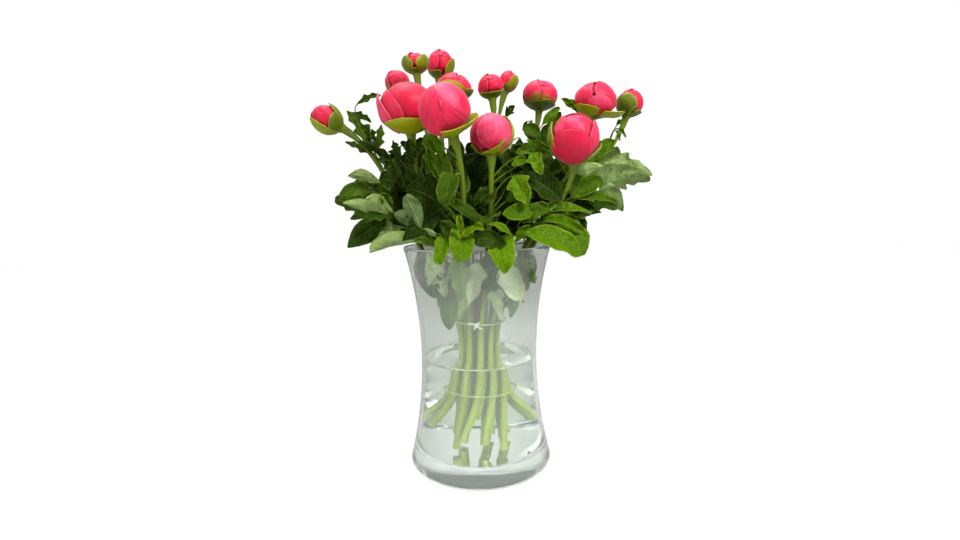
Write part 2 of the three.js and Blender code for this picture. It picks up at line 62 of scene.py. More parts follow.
STEM_RADIUS = 3.7
OUTER_RING = 24  # circles that the stems stand on between the two ties
INNER_RING = 10
TWIST = 12  # the stems' turn round the bunch between the two ties
TIE_HEIGHTS = {"tie_lower": 86, "tie_upper": 165}
NECK_HEIGHT = 238  # where the stems pass the mouth of the vase
NECK_BASE = 20  # how far out a stem is there, beside its share of its bud's own reach
INNER_NECK_BASE = 8
NECK_SHARE = 0.3
NECK_LIMIT = 58
NECK_TURN = 0.6  # share of the turn from its place in the bunch to its bud that it has made there
SEAT_PULL = 0.9  # how strongly a stem follows its bud's axis at the end
FOOT_SPREAD = 1.6  # the cut ends stand on about this many times their ring
FOOT_HEIGHTS = (22, 34, 26, 40, 30)  # of the cut ends, in turn through the buds
STALK_DROP = 26  # a leaflet's stalk leaves the stem this far below the blade's root
LOWEST_LEAF = 250  # the height where the lowest leaves over the rim leave their stem
BARE_SHARE = 0.34  # share of a frond that is bare stalk
# these fillers are painted dark, as shade deep in the bunch
FILLERS = 9  # dark leaflets deep in the bunch on each stem
SLIM = 0.74  # share of its width that a small bud's stem keeps
SEAT_GAP = 3.2  # a stem's line ends this far below its bud's egg
SEPAL_LIFT = 0.95  # how far the sepals stand off the bud's egg
LOOSE_SEPAL_LIFT = 1.7  # and how far on the four large buds that have begun to open
LOOSE_SEPALS = ("left_big", "centre_big", "right_open", "right_back")
GAP = 0.35  # between the water and the glass

# The photograph's camera, fitted to the vase: where it stands, how far it looks down and how far it leans.
PHOTO_WIDTH, PHOTO_HEIGHT = 960, 540
FOCAL = 492.7  # pixels of the photograph
CAMERA_AT = (2.95, -555.5, 291.7)
CAMERA_DIP = 7.25
CAMERA_LEAN = -1.08


# ---- Tables of the bunch ----

# Each bud: its middle, its radius across and along its axis, the way its tip points and the place of its stem
# in the spiral bunch in degrees. Some have a stem on the inner ring, a slim stem, or a foot of their own. The
# count of outer petals is given where BLOOM doesn't lay the petals one by one.
BUDS = {
    "left_low": dict(at=(-161, 0, 390), across=14.8, along=17, points=(-0.82, -0.25, 0.5), slot=175,
                     foot=(-54, 6, 40), petals=4),
    "left_big": dict(at=(-65.5, -46, 391.5), across=27.4, along=24.2, points=(-0.05, -0.12, 0.99),
                     slot=208),
    "centre_big": dict(at=(-26.6, -98, 379), across=23.5, along=23.5, points=(-0.3, -0.36, 0.88),
                       slot=241),
    "middle": dict(at=(16, -64, 361.5), across=21.2, along=20, points=(0, 0.05, 1), slot=273),
    "right_open": dict(at=(96, -72, 355.5), across=22.8, along=23.4, points=(0.02, -0.2, 0.98),
                       slot=306),
    "top_green": dict(at=(-62, -4, 446), across=13, along=10.4, points=(-0.1, 0, 1), slot=190,
                      inner=True, slim=SLIM, petals=4),
    "top_back": dict(at=(-38.6, 42, 457), across=15, along=16, points=(0.08, 0, 1), slot=110, petals=4),
    "left_behind": dict(at=(-88, 36, 436), across=14.6, along=14.2, points=(-0.3, 0, 0.95), slot=142,
                        slim=SLIM, petals=4),
    "behind_centre": dict(at=(-20.6, 0, 422), across=18.3, along=13.5, points=(0.22, 0, 0.97), slot=80,
                          inner=True, slim=SLIM, petals=4),
    "small_mid": dict(at=(18, -12, 419), across=13.6, along=12.4, points=(-0.12, 0.02, 0.99), slot=310,
                      inner=True, slim=SLIM, petals=4),
    "small_back": dict(at=(40, 50, 438.5), across=10.5, along=12.2, points=(0.3, 0.05, 0.95), slot=77,
                       slim=SLIM, petals=4),
    "right_mid": dict(at=(75, 22, 416), across=19.8, along=16.2, points=(0.1, 0.03, 0.99), slot=44,
                      slim=SLIM, petals=5),
    "right_back": dict(at=(129, -12, 402.4), across=22, along=18, points=(0.16, -0.08, 0.98), slot=339,
                       slim=SLIM),
    "far_right": dict(at=(178, 26, 406.4), across=15, along=15, points=(0.3, 0.02, 0.95), slot=11,
                      foot=(55, -6, 46), slim=SLIM, petals=4),
}
BUD_ORDER = list(BUDS)

# Each frond: the height where it leaves its stem, its tip, how far its middle arches up, the half width of
# its middle leaflet, how far its face tips towards the front in degrees, its kind, and how light it is: a
# painted light and shade level, low for fronds in shade deep in the bunch and high for those in the light.
FRONDS = {
    "centre_big": (
        (252, (-37, -94, 240), 34, 9, 0, "blunt", 0.85),
        (262, (-14, -98, 243), 34, 12, 0, "blunt", 0.9),
        (270, (-68, -66, 312), 16, 24, 70, "three", 0.2),
        (322, (-30, -98, 294), 22, 11, 20, "oval", 0.45),
        (184, (-36, -50, 238), -4, 19, 90, "lobed", 0.5),
    ),
    "middle": (
        (250, (27, -98, 231), 38, 16, 0, "broad", 1.0),
        (262, (5, -88, 278), 22, 17, 20, "oval", 0.4),
        (282, (57, -72, 302), 16, 15, 50, "lobed", 0.5),
        (186, (24, -56, 238), -4, 19, 90, "lobed", 0.5),
    ),
    "right_open": (
        (252, (108, -68, 244), 34, 24, 38, "broad", 0.74),
        (268, (72, -70, 286), 14, 17, 40, "lobed", 0.55),
    ),
    "left_big": (
        (252, (-112, -42, 251), 26, 12, -58, "lobed", 0.95),
        (268, (-114, -52, 284), 24, 20, 55, "lobed", 0.35),
        (292, (-98, -44, 322), 16, 22, 70, "lobed", 0.3),
    ),
    "left_low": (
        (256, (-154, -12, 305), 14, 23, 55, "three", 0.4),
        (318, (-142, 14, 405), 10, 11, 50, "sprig", 0.4),
    ),
    "left_behind": (
        (266, (-142, 24, 325), 14, 20, 40, "three", 0.35),
        (252, (-120, 49, 262), 34, 22, -20, "lobed", 0.25),
        (292, (-62, 98, 336), 14, 26, -40, "lobed", 0.35),
    ),
    "top_green": ((292, (-106, -2, 350), 12, 21, 60, "three", 0.3),),
    "small_mid": (
        (262, (4, -46, 326), 4, 25, 80, "three", 0.15),
        (296, (56, -40, 352), 12, 22, 70, "three", 0.3),
    ),
    "behind_centre": ((262, (-36, -29, 344), 6, 17.5, 80, "three", 0.15),),
    "right_back": (
        (254, (123, -39, 288), 16, 20, 50, "three", 0.4),
        (282, (110, -30, 326), 12, 22, 65, "three", 0.35),
        (306, (148, 4, 362), 10, 16, 60, "lobed", 0.6),
        (186, (60, -16, 238), -4, 17, 60, "lobed", 0.5),
    ),
    "far_right": (
        (262, (150, -26, 292), 20, 21, 50, "three", 0.4),
        (300, (196, 6, 322), 16, 20, -58, "three", 0.9),
    ),
    "right_mid": (
        (290, (92, -8, 392), 6, 16, 70, "lobed", 0.5),
        (256, (123, 59, 262), 30, 26, -30, "lobed", 0.35),
        (280, (138, 66, 318), 14, 24, -40, "three", 0.35),
    ),
    "small_back": (
        (262, (18, 4, 344), 4, 18, 75, "three", 0.2),
        (254, (35, 118, 248), 36, 24, 0, "three", 0.4),
        (290, (84, 84, 330), 16, 24, -40, "three", 0.35),
    ),
    "top_back": (
        (254, (-76, 95, 257), 36, 25, 0, "three", 0.4),
        (284, (25, 92, 326), 16, 25, -40, "three", 0.35),
    ),
}

# The leaflets that were placed on the photograph one by one, on each stem. Each row has the pixel of the
# blade's root and its depth, the pixel of its tip and its depth, its half width in pixels, how far its middle
# arches up, how far its face tips to the front in degrees, its outline, and how light it is, a painted light
# and shade level. Depths are along y from the vase's middle, and depths and arches are in millimetres.
LEAFLETS = {
    "left_low": (
        ((371, 192), -30, (338, 199.5), -34, 9, 10, 62, "oval", 0.42),
        ((382, 184), -24, (349, 174), -22, 6, 6, -70, "lance", 0.9),
        ((356, 105), -10, (380, 95), -10, 4.5, 3, 76, "cut", 0.45),
        ((351, 113), -10, (371, 122), -10, 4.5, 3, 76, "cut", 0.4),
        ((357, 141), -12, (392, 160), -14, 6.5, 5, 76, "cut", 0.3),
        ((372, 129), -8, (374, 142), -8, 3.5, 3, 76, "cut", 0.35),
        ((396, 198), -20, (372, 186), -24, 6, 4, 70, "oval", 0.4),
        ((410, 215), -30, (392, 196), -34, 8, 3, 85, "lobed", 0.15),
        ((420, 250), -30, (438, 298), -24, 12, 3, 88, "oval", 0.5),
    ),
    "left_big": (
        ((392, 217), -50, (344, 203), -50, 6.5, 6, -60, "lance", 0.85),
        ((393, 213), -54, (366, 197), -60, 6.5, 5, -70, "lance", 1),
        ((392, 212), -52, (380, 194), -58, 6, 3, 75, "oval", 0.55),
        ((423, 243), -68, (370.5, 250), -60, 8.5, 14, -62, "lance", 0.85),
        ((424, 228), -62, (420, 197), -66, 7.5, 3, 88, "lance", 0.2),
        ((404, 164), -30, (425, 196), -52, 8.5, 8, 80, "oval", 0.25),
        ((428, 150), -66, (424, 170), -70, 4, 2, 86, "lance", 0.5),
        ((437, 140), -40, (418, 166), -44, 8, 3, 88, "lobed", 0.1),
        ((400, 146), -16, (392, 166), -18, 7, 3, 84, "lobed", 0.12),
        ((412, 150), -20, (404, 178), -22, 8, 3, 84, "oval", 0.15),
        ((428, 196), -30, (410, 172), -34, 8, 3, 86, "lobed", 0.12),
        ((417, 158), -40, (401, 142), -46, 7, 3, 84, "lobed", 0.18),
        ((397, 172), -28, (384, 161), -32, 6, 3, 75, "lobed", 0.35),
        ((402, 226), -48, (383, 216), -50, 5, 3, 60, "lance", 0.35),
        ((423, 229), -56, (395, 214), -62, 8, 4, -75, "oval", 0.4),
        ((398, 190), -40, (384, 205), -48, 6, 4, 75, "lance", 0.3),
        ((432, 212), -46, (426, 180), -50, 8, 3, 88, "oval", 0.15),
        ((416, 242), -58, (398, 232), -62, 6, 4, 60, "lance", 0.3),
        ((456, 196), -34, (462, 160), -38, 8, 3, 88, "oval", 0.12),
        ((438, 190), -30, (448, 156), -34, 8, 3, 88, "lobed", 0.15),
        ((414, 166), -44, (408, 140), -50, 7, 3, 84, "lobed", 0.3),
        ((400, 160), -30, (392, 140), -34, 6, 3, 84, "lobed", 0.22),
        ((424, 160), -24, (420, 138), -28, 8, 3, 88, "oval", 0.1),
        ((428, 252), -50, (446, 296), -46, 13, 3, -84, "lobed", 1.3),
        ((450, 280), -36, (449, 330), -30, 9, 2, 84, "oval", 0.6),
        ((437, 276), -20, (446, 318), -20, 8, 2, 80, "lobed", 0.8),
    ),
    "centre_big": (
        ((421, 228), -76, (406, 195), -84, 9, 3, -86, "oval", 0.3),
        ((439, 150), -76, (453, 206), -82, 8, 4, 88, "broad", 0.5),
        ((423, 136), -80, (443, 153), -84, 8.5, 3, 86, "broad", 0.7),
        ((434, 156), -74, (438, 172), -78, 4, 2, 86, "tri", 0.75),
        ((455, 160), -50, (462, 190), -54, 8, 3, 88, "oval", 0.1),
        ((447, 205), -72, (482, 225), -88, 6, 12, 60, "lance", 0.45),
        ((437, 160), -72, (425, 173), -74, 3.5, 2, 80, "lance", 0.55),
        ((441, 165), -70, (436, 176), -74, 3, 1, 80, "lance", 0.8),
        ((421, 230), -74, (437, 236), -80, 3.5, 2, -60, "lance", 0.7),
        ((461, 236), -92, (458, 216), -98, 3.2, 2, 80, "blunt", 1),
        ((464, 236), -92, (483, 226), -96, 4, 5, 55, "blunt", 0.95),
        ((452, 228), -60, (436, 200), -64, 8, 3, 88, "lobed", 0.15),
        ((460, 238), -76, (440, 222), -82, 7, 3, 80, "oval", 0.3),
        ((437, 248), -80, (415, 240), -84, 5, 4, 50, "lance", 0.4),
        ((470, 214), -60, (458, 186), -64, 8, 3, 88, "lobed", 0.2),
        ((475, 236), -70, (466, 208), -74, 8, 3, 86, "oval", 0.25),
        ((484, 224), -84, (512, 234), -94, 4.5, 7, 50, "lance", 0.85),
        ((432, 172), -72, (428, 138), -84, 7, 3, 84, "lobed", 0.55),
        ((441, 174), -70, (439, 144), -84, 5.5, 3, 84, "lobed", 0.62),
        ((455, 166), -50, (452, 144), -56, 7, 3, 84, "oval", 0.18),
        ((455, 254), -62, (462, 300), -50, 12, 3, 78, "lobed", 1.2),
        ((478, 262), -60, (470, 302), -52, 12, 3, -80, "tri", 1.9),
        ((470, 276), -40, (460, 318), -34, 11, 2, -82, "lobed", 0.9),
        ((444, 256), -56, (430, 284), -44, 9, 2, -80, "lobed", 1.7),
    ),
    "middle": (
        ((497, 188), -60, (474, 206), -64, 8, 3, 86, "oval", 0.22),
        ((487, 217), -50, (480, 188), -60, 8.5, 3, -86, "lobed", 0.3),
        ((506, 246), -82, (474, 240), -92, 9, 8, 70, "blunt", 0.3),
        ((514, 176), -72, (527, 204), -84, 13, 4, 84, "tri", 0.85),
        ((528, 160), -62, (512, 166), -72, 4.5, 3, 70, "lance", 0.76),
        ((531, 154), -72, (541, 174), -80, 8.5, 3, 85, "tri", 0.9),
        ((505, 190), -40, (506, 165), -46, 7, 3, 88, "oval", 0.15),
        ((508, 222), -52, (520, 196), -56, 8, 3, 88, "lobed", 0.15),
        ((502, 266), -62, (520, 300), -50, 13, 3, -84, "broad", 2.3),
        ((494, 252), -54, (480, 290), -46, 13, 3, 84, "oval", 0.4),
        ((492, 280), -40, (500, 318), -34, 9, 2, -82, "lobed", 1.6),
    ),
    "right_open": (
        ((540, 196), -44, (520, 172), -50, 9, 3, 88, "oval", 0.2),
        ((537, 221), -60, (584, 229), -66, 6, 8, 45, "lance", 0.8),
        ((537, 217), -52, (592, 211), -60, 6.5, 12, 52, "lance", 0.8),
        ((567, 199), -44, (618, 201), -40, 9.5, 8, 62, "lobed", 0.61),
        ((562, 181), -50, (602, 165.5), -46, 7, 5, -72, "lance", 0.95),
        ((600, 191), -40, (614.5, 184.5), -40, 3.5, 2, -70, "lance", 0.76),
        ((560, 194), -60, (582, 176), -62, 7.5, 3, 80, "oval", 0.44),
        ((570, 198), -48, (601, 178), -46, 9, 4, 72, "oval", 0.58),
        ((562, 200), -64, (526, 176), -70, 14, 5, 88, "oval", 0.16),
        ((543, 148), -44, (516, 153), -50, 8.5, 4, 80, "lobed", 0.58),
        ((537, 208), -70, (503, 214), -84, 9, -3, 70, "oval", 0.7),
        ((536, 217), -46, (567, 203), -50, 6.5, 4, -72, "oval", 0.9),
        ((546, 230), -58, (516, 236), -74, 8, 6, 60, "oval", 0.46),
        ((522, 214), -50, (534, 190), -56, 9, 3, 88, "oval", 0.12),
        ((552, 222), -40, (572, 214), -44, 7, 4, 60, "oval", 0.51),
        ((548, 176), -40, (566, 158), -42, 7, 3, 84, "oval", 0.46),
        ((515, 243), -78, (530, 226), -80, 5, 3, 70, "lance", 0.66),
        ((526, 234), -86, (585, 252), -84, 15, 6, 52, "oval", 0.8),
        ((520, 222), -70, (548, 206), -76, 9, 4, 70, "broad", 0.6),
        ((534, 256), -46, (514, 300), -40, 12, 3, 80, "lobed", 1.5),
        ((500, 250), -20, (508, 308), -14, 14, 3, 88, "lobed", 0.6),
        ((516, 282), -30, (510, 318), -26, 9, 2, 80, "lobed", 1.2),
        ((514, 256), -58, (532, 280), -44, 8, 2, 80, "lobed", 1),
    ),
    "top_green": (
        ((441, 152), -10, (436, 188), -14, 8, 3, 88, "lobed", 0.1),
        ((417, 140), -10, (424, 176), -14, 8, 3, 88, "oval", 0.08),
        ((470, 250), -20, (450, 306), -14, 14, 3, 88, "lobed", 0.5),
    ),
    "left_behind": (
        ((437, 252), 10, (448, 306), 4, 13, 3, 88, "lobed", 0.5),
    ),
    "behind_centre": (
        ((452, 148), -20, (449, 182), -24, 8, 3, 88, "lobed", 0.08),
        ((459, 140), -10, (455, 170), -14, 8, 3, 88, "oval", 0.06),
    ),
    "small_mid": (
        ((470, 150), -14, (463, 186), -18, 8, 3, 88, "oval", 0.08),
        ((478, 140), -20, (468, 170), -24, 8, 3, 88, "lobed", 0.1),
        ((520, 138), -20, (518, 168), -24, 8, 3, 88, "lobed", 0.12),
        ((505, 118), -10, (514, 106), -10, 5, 3, 84, "lobed", 0.2),
        ((478, 118), -10, (488, 130), -12, 6, 3, 84, "oval", 0.15),
        ((505, 168), -30, (500, 136), -32, 8, 3, 88, "lobed", 0.18),
        ((486, 178), -30, (476, 150), -34, 8, 3, 88, "oval", 0.12),
        ((504, 150), -30, (498, 132), -34, 6, 3, 84, "lobed", 0.25),
        ((470, 158), -30, (474, 142), -34, 7, 3, 84, "oval", 0.14),
    ),
    "right_mid": (
        ((527, 121), -8, (523, 131), -8, 1.6, 1, 80, "lance", 0.3),
        ((531, 120), -8, (529, 132), -8, 1.6, 1, 80, "lance", 0.3),
        ((542, 126), -20, (560, 107), -20, 4.5, 2, 80, "lance", 0.66),
    ),
    "right_back": (
        ((574, 136), -8, (569, 118), -8, 6, 3, 80, "lobed", 0.3),
        ((571, 152), -10, (602, 141), -10, 7, 4, 75, "lobed", 0.3),
        ((602, 164), -30, (651, 174.5), -26, 11, 10, -74, "lobed", 0.95),
        ((594, 160), -34, (615, 138.5), -30, 6.5, 2, 75, "lance", 0.66),
        ((540, 142), -24, (524, 126), -26, 8, 3, 84, "oval", 0.46),
        ((577, 111), -14, (562, 98), -14, 3.2, 2, 80, "lance", 0.66),
        ((578, 111), -12, (570, 99), -12, 3, 2, 80, "lance", 0.66),
        ((580, 180), -20, (606, 186), -18, 7, 5, 50, "oval", 0.56),
        ((566, 236), -30, (560, 244), -60, 4, 2, 40, "lance", 0.56),
        ((533, 254), -20, (520, 290), -14, 9, 3, 88, "oval", 0.7),
    ),
    "far_right": (
        ((525, 252), 10, (516, 306), 4, 13, 3, 88, "lobed", 0.6),
        ((617, 128), 0, (626, 137), 0, 1.8, 3, 60, "lance", 0.8),
        ((616, 130), 0, (620, 140), 0, 1.8, 2, 60, "lance", 0.7),
        ((616, 126), 2, (622, 120), 0, 2, 1, 60, "lance", 0.6),
    ),
}

# Sepals: turn, half width and reach up from the stem in degrees, how far the tip stands away in millimetres,
# and how light each is, a painted light and shade level.
SEPALS = {
    "left_low": ((-62, 46, 150, 0.4, 0.85), (96, 42, 112, 1.0, 0.4), (180, 52, 92, 0, 0.4),
                 (28, 48, 84, 0.5, 0.3)),
    "left_big": ((-6, 46, 68, 2.4, 0.95), (130, 48, 40, 0, 0.5), (228, 46, 38, 0, 0.5)),
    "centre_big": ((44, 54, 66, 6.5, 0.8), (165, 50, 44, 0, 0.5), (270, 44, 30, 0, 0.5)),
    "middle": ((-46, 72, 30, 0.5, 0.85), (102, 40, 148, 0.6, 0.9), (225, 53, 60, 0, 0.5)),
    "right_open": ((-100, 42, 124, 2.0, 0.6), (88, 38, 80, 1.6, 0.75), (175, 48, 60, 0, 0.5)),
    "top_green": ((-62, 56, 126, 0.6, 0.6), (64, 58, 120, 0.6, 0.65), (180, 58, 84, 0, 0.5),
                  (0, 40, 50, 0, 0.4)),
    "top_back": ((78, 46, 112, 0.8, 0.65), (200, 53, 80, 0, 0.5), (310, 46, 56, 0, 0.5)),
    "left_behind": ((20, 55, 62, 0, 0.4), (145, 53, 76, 0, 0.5), (265, 50, 66, 0, 0.45)),
    "behind_centre": ((-10, 58, 96, 1.0, 0.9), (82, 45, 92, 0.8, 0.5), (200, 53, 76, 0, 0.5)),
    "small_mid": ((0, 53, 50, 0, 0.35), (120, 50, 72, 0, 0.5), (-110, 50, 62, 0, 0.5)),
    "small_back": ((58, 52, 124, 0.8, 0.65), (-50, 53, 64, 0, 0.5), (180, 50, 80, 0, 0.5)),
    "right_mid": ((-40, 60, 54, 0, 0.1), (70, 58, 58, 0, 0.15), (185, 58, 60, 0, 0.2)),
    "right_back": ((-52, 46, 68, 0.8, 0.85), (78, 42, 74, 10.0, 0.95), (210, 50, 50, 0, 0.5)),
    "far_right": ((-34, 50, 114, 0.5, 0.5), (80, 45, 66, 0.5, 0.35), (215, 53, 74, 0, 0.5)),
}


# ---- Settings ----

class PeonyVaseSettings(bpy.types.PropertyGroup):
    height: bpy.props.FloatProperty(name="Height", description="Height of the vase", default=0.25,
                                    unit="LENGTH")
    waist: bpy.props.FloatProperty(name="Waist", description="Outside radius where the vase is narrowest",
                                   default=0.066, unit="LENGTH")
    wall: bpy.props.FloatProperty(name="Wall", description="Thickness of the glass wall", default=0.004,
                                  unit="LENGTH")
    floor: bpy.props.FloatProperty(name="Floor", description="Thickness of the glass under the water",
                                   default=0.016, unit="LENGTH")
    water: bpy.props.FloatProperty(name="Water", description="Height of the water", default=0.123,
                                   unit="LENGTH")
    glass: bpy.props.FloatVectorProperty(name="Glass", description="Tint of the soda-lime glass",
                                         subtype="COLOR", size=3, default=linear("F8FAF9"))


class PeonyBloomSettings(bpy.types.PropertyGroup):
    petal: bpy.props.FloatProperty(name="Petal", description="Thickness of a petal", default=0.0007,
                                   unit="LENGTH")
    sepal: bpy.props.FloatProperty(name="Sepal", description="Thickness of a sepal", default=0.0009,
                                   unit="LENGTH")
    deep: bpy.props.FloatVectorProperty(name="Deep pink", description="Petals low on the bud",
                                        subtype="COLOR", size=3, default=linear("C60832"))
    full: bpy.props.FloatVectorProperty(name="Coral pink", description="Most of each petal",
                                        subtype="COLOR", size=3, default=linear("EA1F4E"))
    pale: bpy.props.FloatVectorProperty(name="Pale pink", description="Petal rims and lit petals",
                                        subtype="COLOR", size=3, default=linear("F86A92"))
    lime: bpy.props.FloatVectorProperty(name="Lime", description="Sepals in the light", subtype="COLOR",
                                        size=3, default=linear("A5AA0C"))
    olive: bpy.props.FloatVectorProperty(name="Olive", description="Sepals in the shade",
                                         subtype="COLOR", size=3, default=linear("66760F"))


class PeonyLeafSettings(bpy.types.PropertyGroup):
    blade: bpy.props.FloatProperty(name="Blade", description="Thickness of a leaf", default=0.0006,
                                   unit="LENGTH")
    # dark and bright are the two ends of the leaves' painted light and shade: leaves in shade deep in the
    # bunch and leaves in the light
    dark: bpy.props.FloatVectorProperty(name="Dark leaf", description="Leaves deep in the bunch",
                                        subtype="COLOR", size=3, default=linear("101C03"))
    bright: bpy.props.FloatVectorProperty(name="Bright leaf", description="Young leaves in the light",
                                          subtype="COLOR", size=3, default=linear("6A9202"))
    under: bpy.props.FloatVectorProperty(name="Underside", description="Undersides of the leaves",
                                         subtype="COLOR", size=3, default=linear("69804A"))
    stem: bpy.props.FloatVectorProperty(name="Stem", description="Stems above the water",
                                        subtype="COLOR", size=3, default=linear("72870A"))


class PeonyStageSettings(bpy.types.PropertyGroup):
    key: bpy.props.FloatProperty(name="Key light", description="Power of the soft light above the front",
                                 default=18.0)
    sky: bpy.props.FloatProperty(name="Studio", description="Strength of the white studio all round",
                                 default=1.0)


# ---- Materials ----

def add(tree, kind, inputs=None, stops=None, **settings):
    """Adds a node with its settings. An input takes a value, or the socket that feeds it."""
    node = tree.nodes.new(kind)
    for name, value in settings.items():
        setattr(node, name, value)
    for name, value in (inputs or {}).items():
        if isinstance(value, bpy.types.NodeSocket):
            tree.links.new(value, node.inputs[name])
        else:
            node.inputs[name].default_value = value
    if stops:
        elements = node.color_ramp.elements
        while len(elements) < len(stops):
            elements.new(0.5)
        for element, (place, colour) in zip(elements, stops):
            element.position = place
            element.color = (*colour, 1)
    return node


def new_material(name):
    """The material of that name and its empty tree, or no tree where it was made before."""
    material = bpy.data.materials.get(name)
    if material:
        return material, None
    material = bpy.data.materials.new(name)
    material.use_nodes = True
    material.node_tree.nodes.clear()
    return material, material.node_tree


def rgba(colour):
    return (*colour, 1.0)


def mixed(tree, share, first, second):
    """The colour output of a mix of two colours."""
    return add(tree, "ShaderNodeMix", {0: share, 6: first, 7: second}, data_type="RGBA").outputs[2]


def peony_petal():
    """Living petal, satin with fine veins that fan from its foot: deeper low down, paler at its thin rim
    (partly painted light shining through), with painted shade in the folds.
    """
    look = bpy.context.scene.peony_bloom
    material, tree = new_material("peony_petal")
    if not tree:
        return material
    uv = add(tree, "ShaderNodeUVMap", uv_map="UVMap").outputs[0]
    across_along = add(tree, "ShaderNodeSeparateXYZ", {0: uv})
    tone = add(tree, "ShaderNodeAttribute", attribute_name="tone").outputs["Fac"]
    olive = add(tree, "ShaderNodeAttribute", attribute_name="olive").outputs["Fac"]
    # this attribute holds painted shade, from 0 to 1, where another petal lies over this one
    seam = add(tree, "ShaderNodeAttribute", attribute_name="seam").outputs["Fac"]
    # veins about a millimetre apart on a petal some forty millimetres wide
    fan = add(tree, "ShaderNodeMapping", {0: uv, "Scale": (38, 2.2, 1)}).outputs[0]
    veins = add(tree, "ShaderNodeTexNoise", {"Vector": fan, "Scale": 1.0, "Detail": 3.0,
                                             "Roughness": 0.6}).outputs[0]
    place = add(tree, "ShaderNodeTexCoord").outputs["Object"]
    blotch = add(tree, "ShaderNodeTexNoise", {"Vector": place, "Scale": 55.0, "Detail": 2.0}).outputs[0]
    # how far up the petal, pushed about by its tone, its veins and soft blotches
    height = add(tree, "ShaderNodeMath", {0: across_along.outputs[1], 1: 0.30}, operation="MULTIPLY")
    lighter = add(tree, "ShaderNodeMath", {0: height.outputs[0], 1: tone}, operation="ADD")
    streaked = add(tree, "ShaderNodeMath", {0: veins, 1: 0.6, 2: lighter.outputs[0]},
                   operation="MULTIPLY_ADD")
    level = add(tree, "ShaderNodeMath", {0: blotch, 1: 0.9, 2: streaked.outputs[0]},
                operation="MULTIPLY_ADD")
    shade = add(tree, "ShaderNodeMapRange", {"Value": level.outputs[0], "From Min": 0.85, "From Max": 2.05})
    colour = add(tree, "ShaderNodeValToRGB", {0: shade.outputs[0]},
                 stops=[(0.0, look.deep), (0.5, look.full), (1.0, look.pale)]).outputs[0]
    # painted light: the thin rim is painted paler, both for the petal's own paler edge and for light shining
    # through it
    rims = []
    for axis in (0, 1):
        off = add(tree, "ShaderNodeMath", {0: across_along.outputs[axis], 1: 0.5}, operation="SUBTRACT")
        rims.append(add(tree, "ShaderNodeMath", {0: off.outputs[0]}, operation="ABSOLUTE").outputs[0])
    edge = add(tree, "ShaderNodeMath", {0: rims[0], 1: rims[1]}, operation="MAXIMUM")
    rim = add(tree, "ShaderNodeMapRange", {"Value": edge.outputs[0], "From Min": 0.45, "From Max": 0.5,
                                           "To Max": 0.42})
    rimmed = mixed(tree, rim.outputs[0], colour, rgba(look.pale))
    # sepal green that runs into the lower part of some outer petals
    low = add(tree, "ShaderNodeMapRange", {"Value": across_along.outputs[1], "From Min": 0.75,
                                           "From Max": 0.2})
    green = add(tree, "ShaderNodeMath", {0: low.outputs[0], 1: olive}, operation="MULTIPLY")
    green = add(tree, "ShaderNodeMath", {0: green.outputs[0], 1: blotch}, operation="MULTIPLY")
    green = add(tree, "ShaderNodeMapRange", {"Value": green.outputs[0], "From Min": 0.15, "From Max": 0.45})
    greened = mixed(tree, green.outputs[0], rimmed, rgba(linear("8A8420")))
    # painted shade: deep red in the fold where the next petal lies over this one, for the shadow of its rim
    fold = add(tree, "ShaderNodeMath", {0: seam, 1: 1.3}, operation="POWER")
    fold = add(tree, "ShaderNodeMath", {0: fold.outputs[0], 1: 0.85}, operation="MULTIPLY")
    final = mixed(tree, fold.outputs[0], greened, rgba(linear("A30A30")))
    bump = add(tree, "ShaderNodeBump", {"Height": veins, "Strength": 0.4, "Distance": 0.0006})
    shader = add(tree, "ShaderNodeBsdfPrincipled",
                 {"Base Color": final, "Roughness": 0.5, "IOR": 1.42, "Specular IOR Level": 0.36,
                  "Sheen Weight": 0.15, "Sheen Roughness": 0.4, "Subsurface Weight": 0.12,
                  "Subsurface Radius": (0.004, 0.001, 0.001), "Subsurface Scale": 0.6,
                  "Normal": bump.outputs[0]})
    add(tree, "ShaderNodeOutputMaterial", {0: shader.outputs[0]})
    return material


